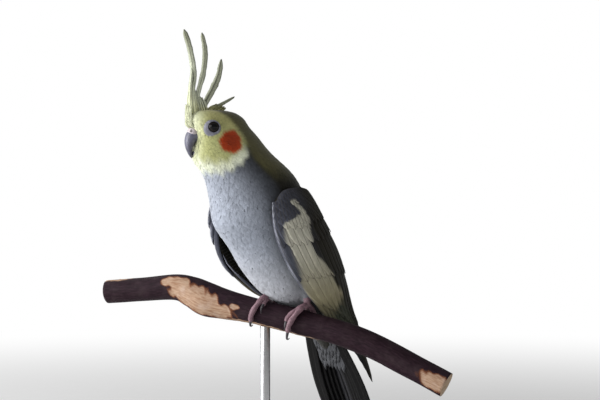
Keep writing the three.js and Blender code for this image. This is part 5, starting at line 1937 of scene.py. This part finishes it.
class COCKATIEL_OT_stand(bpy.types.Operator):
    """Makes the plain display stand: an oval base and one slim rod"""

    bl_idname = "cockatiel.stand"
    bl_label = "Stand"

    def execute(self, context):
        perch = context.scene.cockatiel_perch
        bm = bmesh.new()
        disc = bmesh.ops.create_circle(bm, cap_ends=True, segments=128, radius=0.5)["verts"]
        bmesh.ops.scale(bm, vec=(perch.base_wide / MM, perch.base_long / MM, 1), verts=disc)
        raised = bmesh.ops.extrude_face_region(bm, geom=bm.faces[:])["geom"]
        top = [item for item in raised if isinstance(item, bmesh.types.BMVert)]
        bmesh.ops.translate(bm, vec=(0, 0, perch.base_thick / MM), verts=top)
        rims = [edge for edge in bm.edges if edge.is_manifold and edge.calc_face_angle(0) > 1]
        bmesh.ops.bevel(bm, geom=rims, offset=1.0, segments=4, profile=0.5, material=-1, affect="EDGES")
        bmesh.ops.translate(bm, vec=tuple(-PERCH), verts=bm.verts)
        mesh = mesh_from_bmesh("stand_base", bm, smooth=False)
        coat = coated_material("Base powder coat", perch.coat, rough=0.55, metal=0.0, grain=2600.0)
        finish_object("base_plate", mesh, coat, "base_coat", "stand_base")
        low, high = (np.array(corner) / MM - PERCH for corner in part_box("stand_rod"))
        bm = bmesh.new()
        radius = perch.rod_radius / MM
        bmesh.ops.create_cone(
            bm, cap_ends=True, segments=48, radius1=radius, radius2=radius, depth=high[2] - low[2]
        )
        ends = [edge for edge in bm.edges if edge.calc_face_angle(0) > 1]
        bmesh.ops.bevel(bm, geom=ends, offset=0.3, segments=2, profile=0.5, material=-1, affect="EDGES")
        bmesh.ops.translate(bm, vec=tuple((low + high) / 2), verts=bm.verts)
        mesh = mesh_from_bmesh("stand_rod", bm)
        steel = coated_material("Rod steel", perch.steel, rough=0.32, metal=1.0, grain=1800.0)
        finish_object("rod", mesh, steel, "rod_steel", "stand_rod")
        return {"FINISHED"}


# Stage

CAMERA_AIM = (277, 316.5)  # where the perch point shows in the picture, of 600 by 400
PICTURE = (600, 400)
MM_PER_PIXEL = 0.593
SENSOR_WIDE = 36
BACKGROUND = 1.0  # brightness of the plain background
AMBIENT = 0.28  # and of the soft light from all round
FLOOR_RADIUS = 14  # in metres
LIGHT_AIM = (0, 0, 0.2)


def join_shaders(nodes, share, first, second, end):
    """Mixes two shaders into the tree's output."""
    join = nodes.add("ShaderNodeMixShader")
    for value, socket in zip((share, first.outputs[0], second.outputs[0]), join.inputs):
        nodes.link(value, socket)
    out = next(node for node in nodes.tree.nodes if node.type == end)
    nodes.link(join.outputs[0], out.inputs["Surface"])


def floor_material(base):
    """A matt pale floor that runs out into the bright background, as a studio sweep does."""
    material, nodes, shader = new_material("Pale floor")
    place = object_place(nodes)
    grain = nodes.noise(place, 60.0, 3.0)
    shade = nodes.blend(nodes.span(grain, 0.3, 0.7), base, paler(base, 0.985))
    nodes.link(shade, shader.inputs["Base Color"])
    set_inputs(shader, Roughness=0.9, Specular_IOR_Level=0.2)
    length_of = nodes.add("ShaderNodeVectorMath", operation="LENGTH")
    nodes.link(place, length_of.inputs[0])
    far = nodes.span(length_of.outputs["Value"], 0.3, 1.5)
    glow = nodes.add("ShaderNodeEmission")
    set_inputs(glow, Color=(BACKGROUND, BACKGROUND, BACKGROUND, 1))
    join_shaders(nodes, far, shader, glow, "OUTPUT_MATERIAL")
    return material


def studio_world():
    """An even soft light all round, before a brighter plain background."""
    world = bpy.data.worlds.new("studio")
    world.use_nodes = True
    nodes = Nodes(world.node_tree)
    soft = world.node_tree.nodes["Background"]
    plain = nodes.add("ShaderNodeBackground")
    set_inputs(soft, Color=(1, 1, 1, 1), Strength=AMBIENT)
    set_inputs(plain, Color=(1, 1, 1, 1), Strength=BACKGROUND)
    seen = nodes.add("ShaderNodeLightPath").outputs["Is Camera Ray"]
    join_shaders(nodes, seen, soft, plain, "OUTPUT_WORLD")
    return world


def add_light(name, place, aim, size, power):
    """Adds a round soft light at a place in metres, turned to what it lights."""
    light = bpy.data.lights.new(name, "AREA")
    light.shape = "DISK"
    light.size = size
    light.energy = power
    lamp = add_object(name, light)
    lamp.location = place
    lamp.rotation_euler = (Vector(aim) - Vector(place)).to_track_quat("-Z", "Y").to_euler()


class COCKATIEL_OT_stage(bpy.types.Operator):
    """Sets the pale floor, the soft lights and the camera"""

    bl_idname = "cockatiel.stage"
    bl_label = "Stage"

    def execute(self, context):
        stage = context.scene.cockatiel_stage
        scene = context.scene
        azimuth = stage.azimuth
        right = Vector((math.cos(azimuth), math.sin(azimuth), 0))
        away = Vector((math.sin(azimuth), -math.cos(azimuth), 0))
        pixels = PICTURE[0] * stage.lens / SENSOR_WIDE
        place = Vector(PERCH)
        place += right * (PICTURE[0] / 2 - CAMERA_AIM[0]) * MM_PER_PIXEL
        place += Vector(UP) * (CAMERA_AIM[1] - PICTURE[1] / 2) * MM_PER_PIXEL
        place += away * pixels * MM_PER_PIXEL
        data = bpy.data.cameras.new("camera")
        data.lens = stage.lens
        data.sensor_width = SENSOR_WIDE
        data.clip_start = 0.01
        camera = add_object("camera", data)
        camera.location = place * MM
        camera.rotation_euler = (math.pi / 2, 0, azimuth)
        scene.camera = camera

        bm = bmesh.new()
        bmesh.ops.create_circle(bm, cap_ends=True, segments=96, radius=FLOOR_RADIUS)
        mesh = bpy.data.meshes.new("floor")
        bm.to_mesh(mesh)
        bm.free()
        floor = add_object("floor", mesh)
        mesh.materials.append(floor_material(stage.floor))

        aim = LIGHT_AIM
        side = Vector(place * MM)
        key = side * 0.2 - right * 1.0 + Vector((0, 0, 0.4))
        add_light("key", key, aim, 0.9, stage.key)
        add_light("fill", side - right * 0.75 + Vector((0, 0, 0.35)), aim, 0.2, stage.fill)
        add_light("back", -side * 0.6 - right * 0.5 + Vector((0, 0, 0.9)), aim, 0.6, stage.fill)
        scene.world = studio_world()
        scene.view_settings.view_transform = "Standard"
        return {"FINISHED"}


PIECES = (
    COCKATIEL_OT_skin,
    COCKATIEL_OT_wings,
    COCKATIEL_OT_tail,
    COCKATIEL_OT_crest,
    COCKATIEL_OT_bill,
    COCKATIEL_OT_eyes,
    COCKATIEL_OT_feet,
    COCKATIEL_OT_branch,
    COCKATIEL_OT_stand,
    COCKATIEL_OT_stage,
)


class COCKATIEL_PT_panel(bpy.types.Panel):
    """Lists the pieces and their sizes and colours"""

    bl_idname = "COCKATIEL_PT_panel"
    bl_label = "Cockatiel"
    bl_space_type = "VIEW_3D"
    bl_region_type = "UI"
    bl_category = "Cockatiel"

    def draw(self, context):
        for operator in PIECES:
            self.layout.operator(operator.bl_idname)
        for label in SETTINGS:
            settings = getattr(context.scene, label)
            for name in settings.bl_rna.properties.keys():
                if name not in ("rna_type", "name"):
                    self.layout.prop(settings, name)


SETTINGS = {
    "cockatiel_plumage": CockatielPlumage,
    "cockatiel_bare_parts": CockatielBareParts,
    "cockatiel_perch": CockatielPerch,
    "cockatiel_stage": CockatielStage,
}
CLASSES = (*SETTINGS.values(), *PIECES, COCKATIEL_PT_panel)


def register():
    for cls in CLASSES:
        bpy.utils.register_class(cls)
    for label, group in SETTINGS.items():
        setattr(bpy.types.Scene, label, PointerProperty(type=group))


def unregister():
    for label in SETTINGS:
        delattr(bpy.types.Scene, label)
    for cls in reversed(CLASSES):
        bpy.utils.unregister_class(cls)


def main():
    register()
    for operator in PIECES:
        group, name = operator.bl_idname.split(".")
        getattr(getattr(bpy.ops, group), name)()


if __name__ == "__main__":
    main()
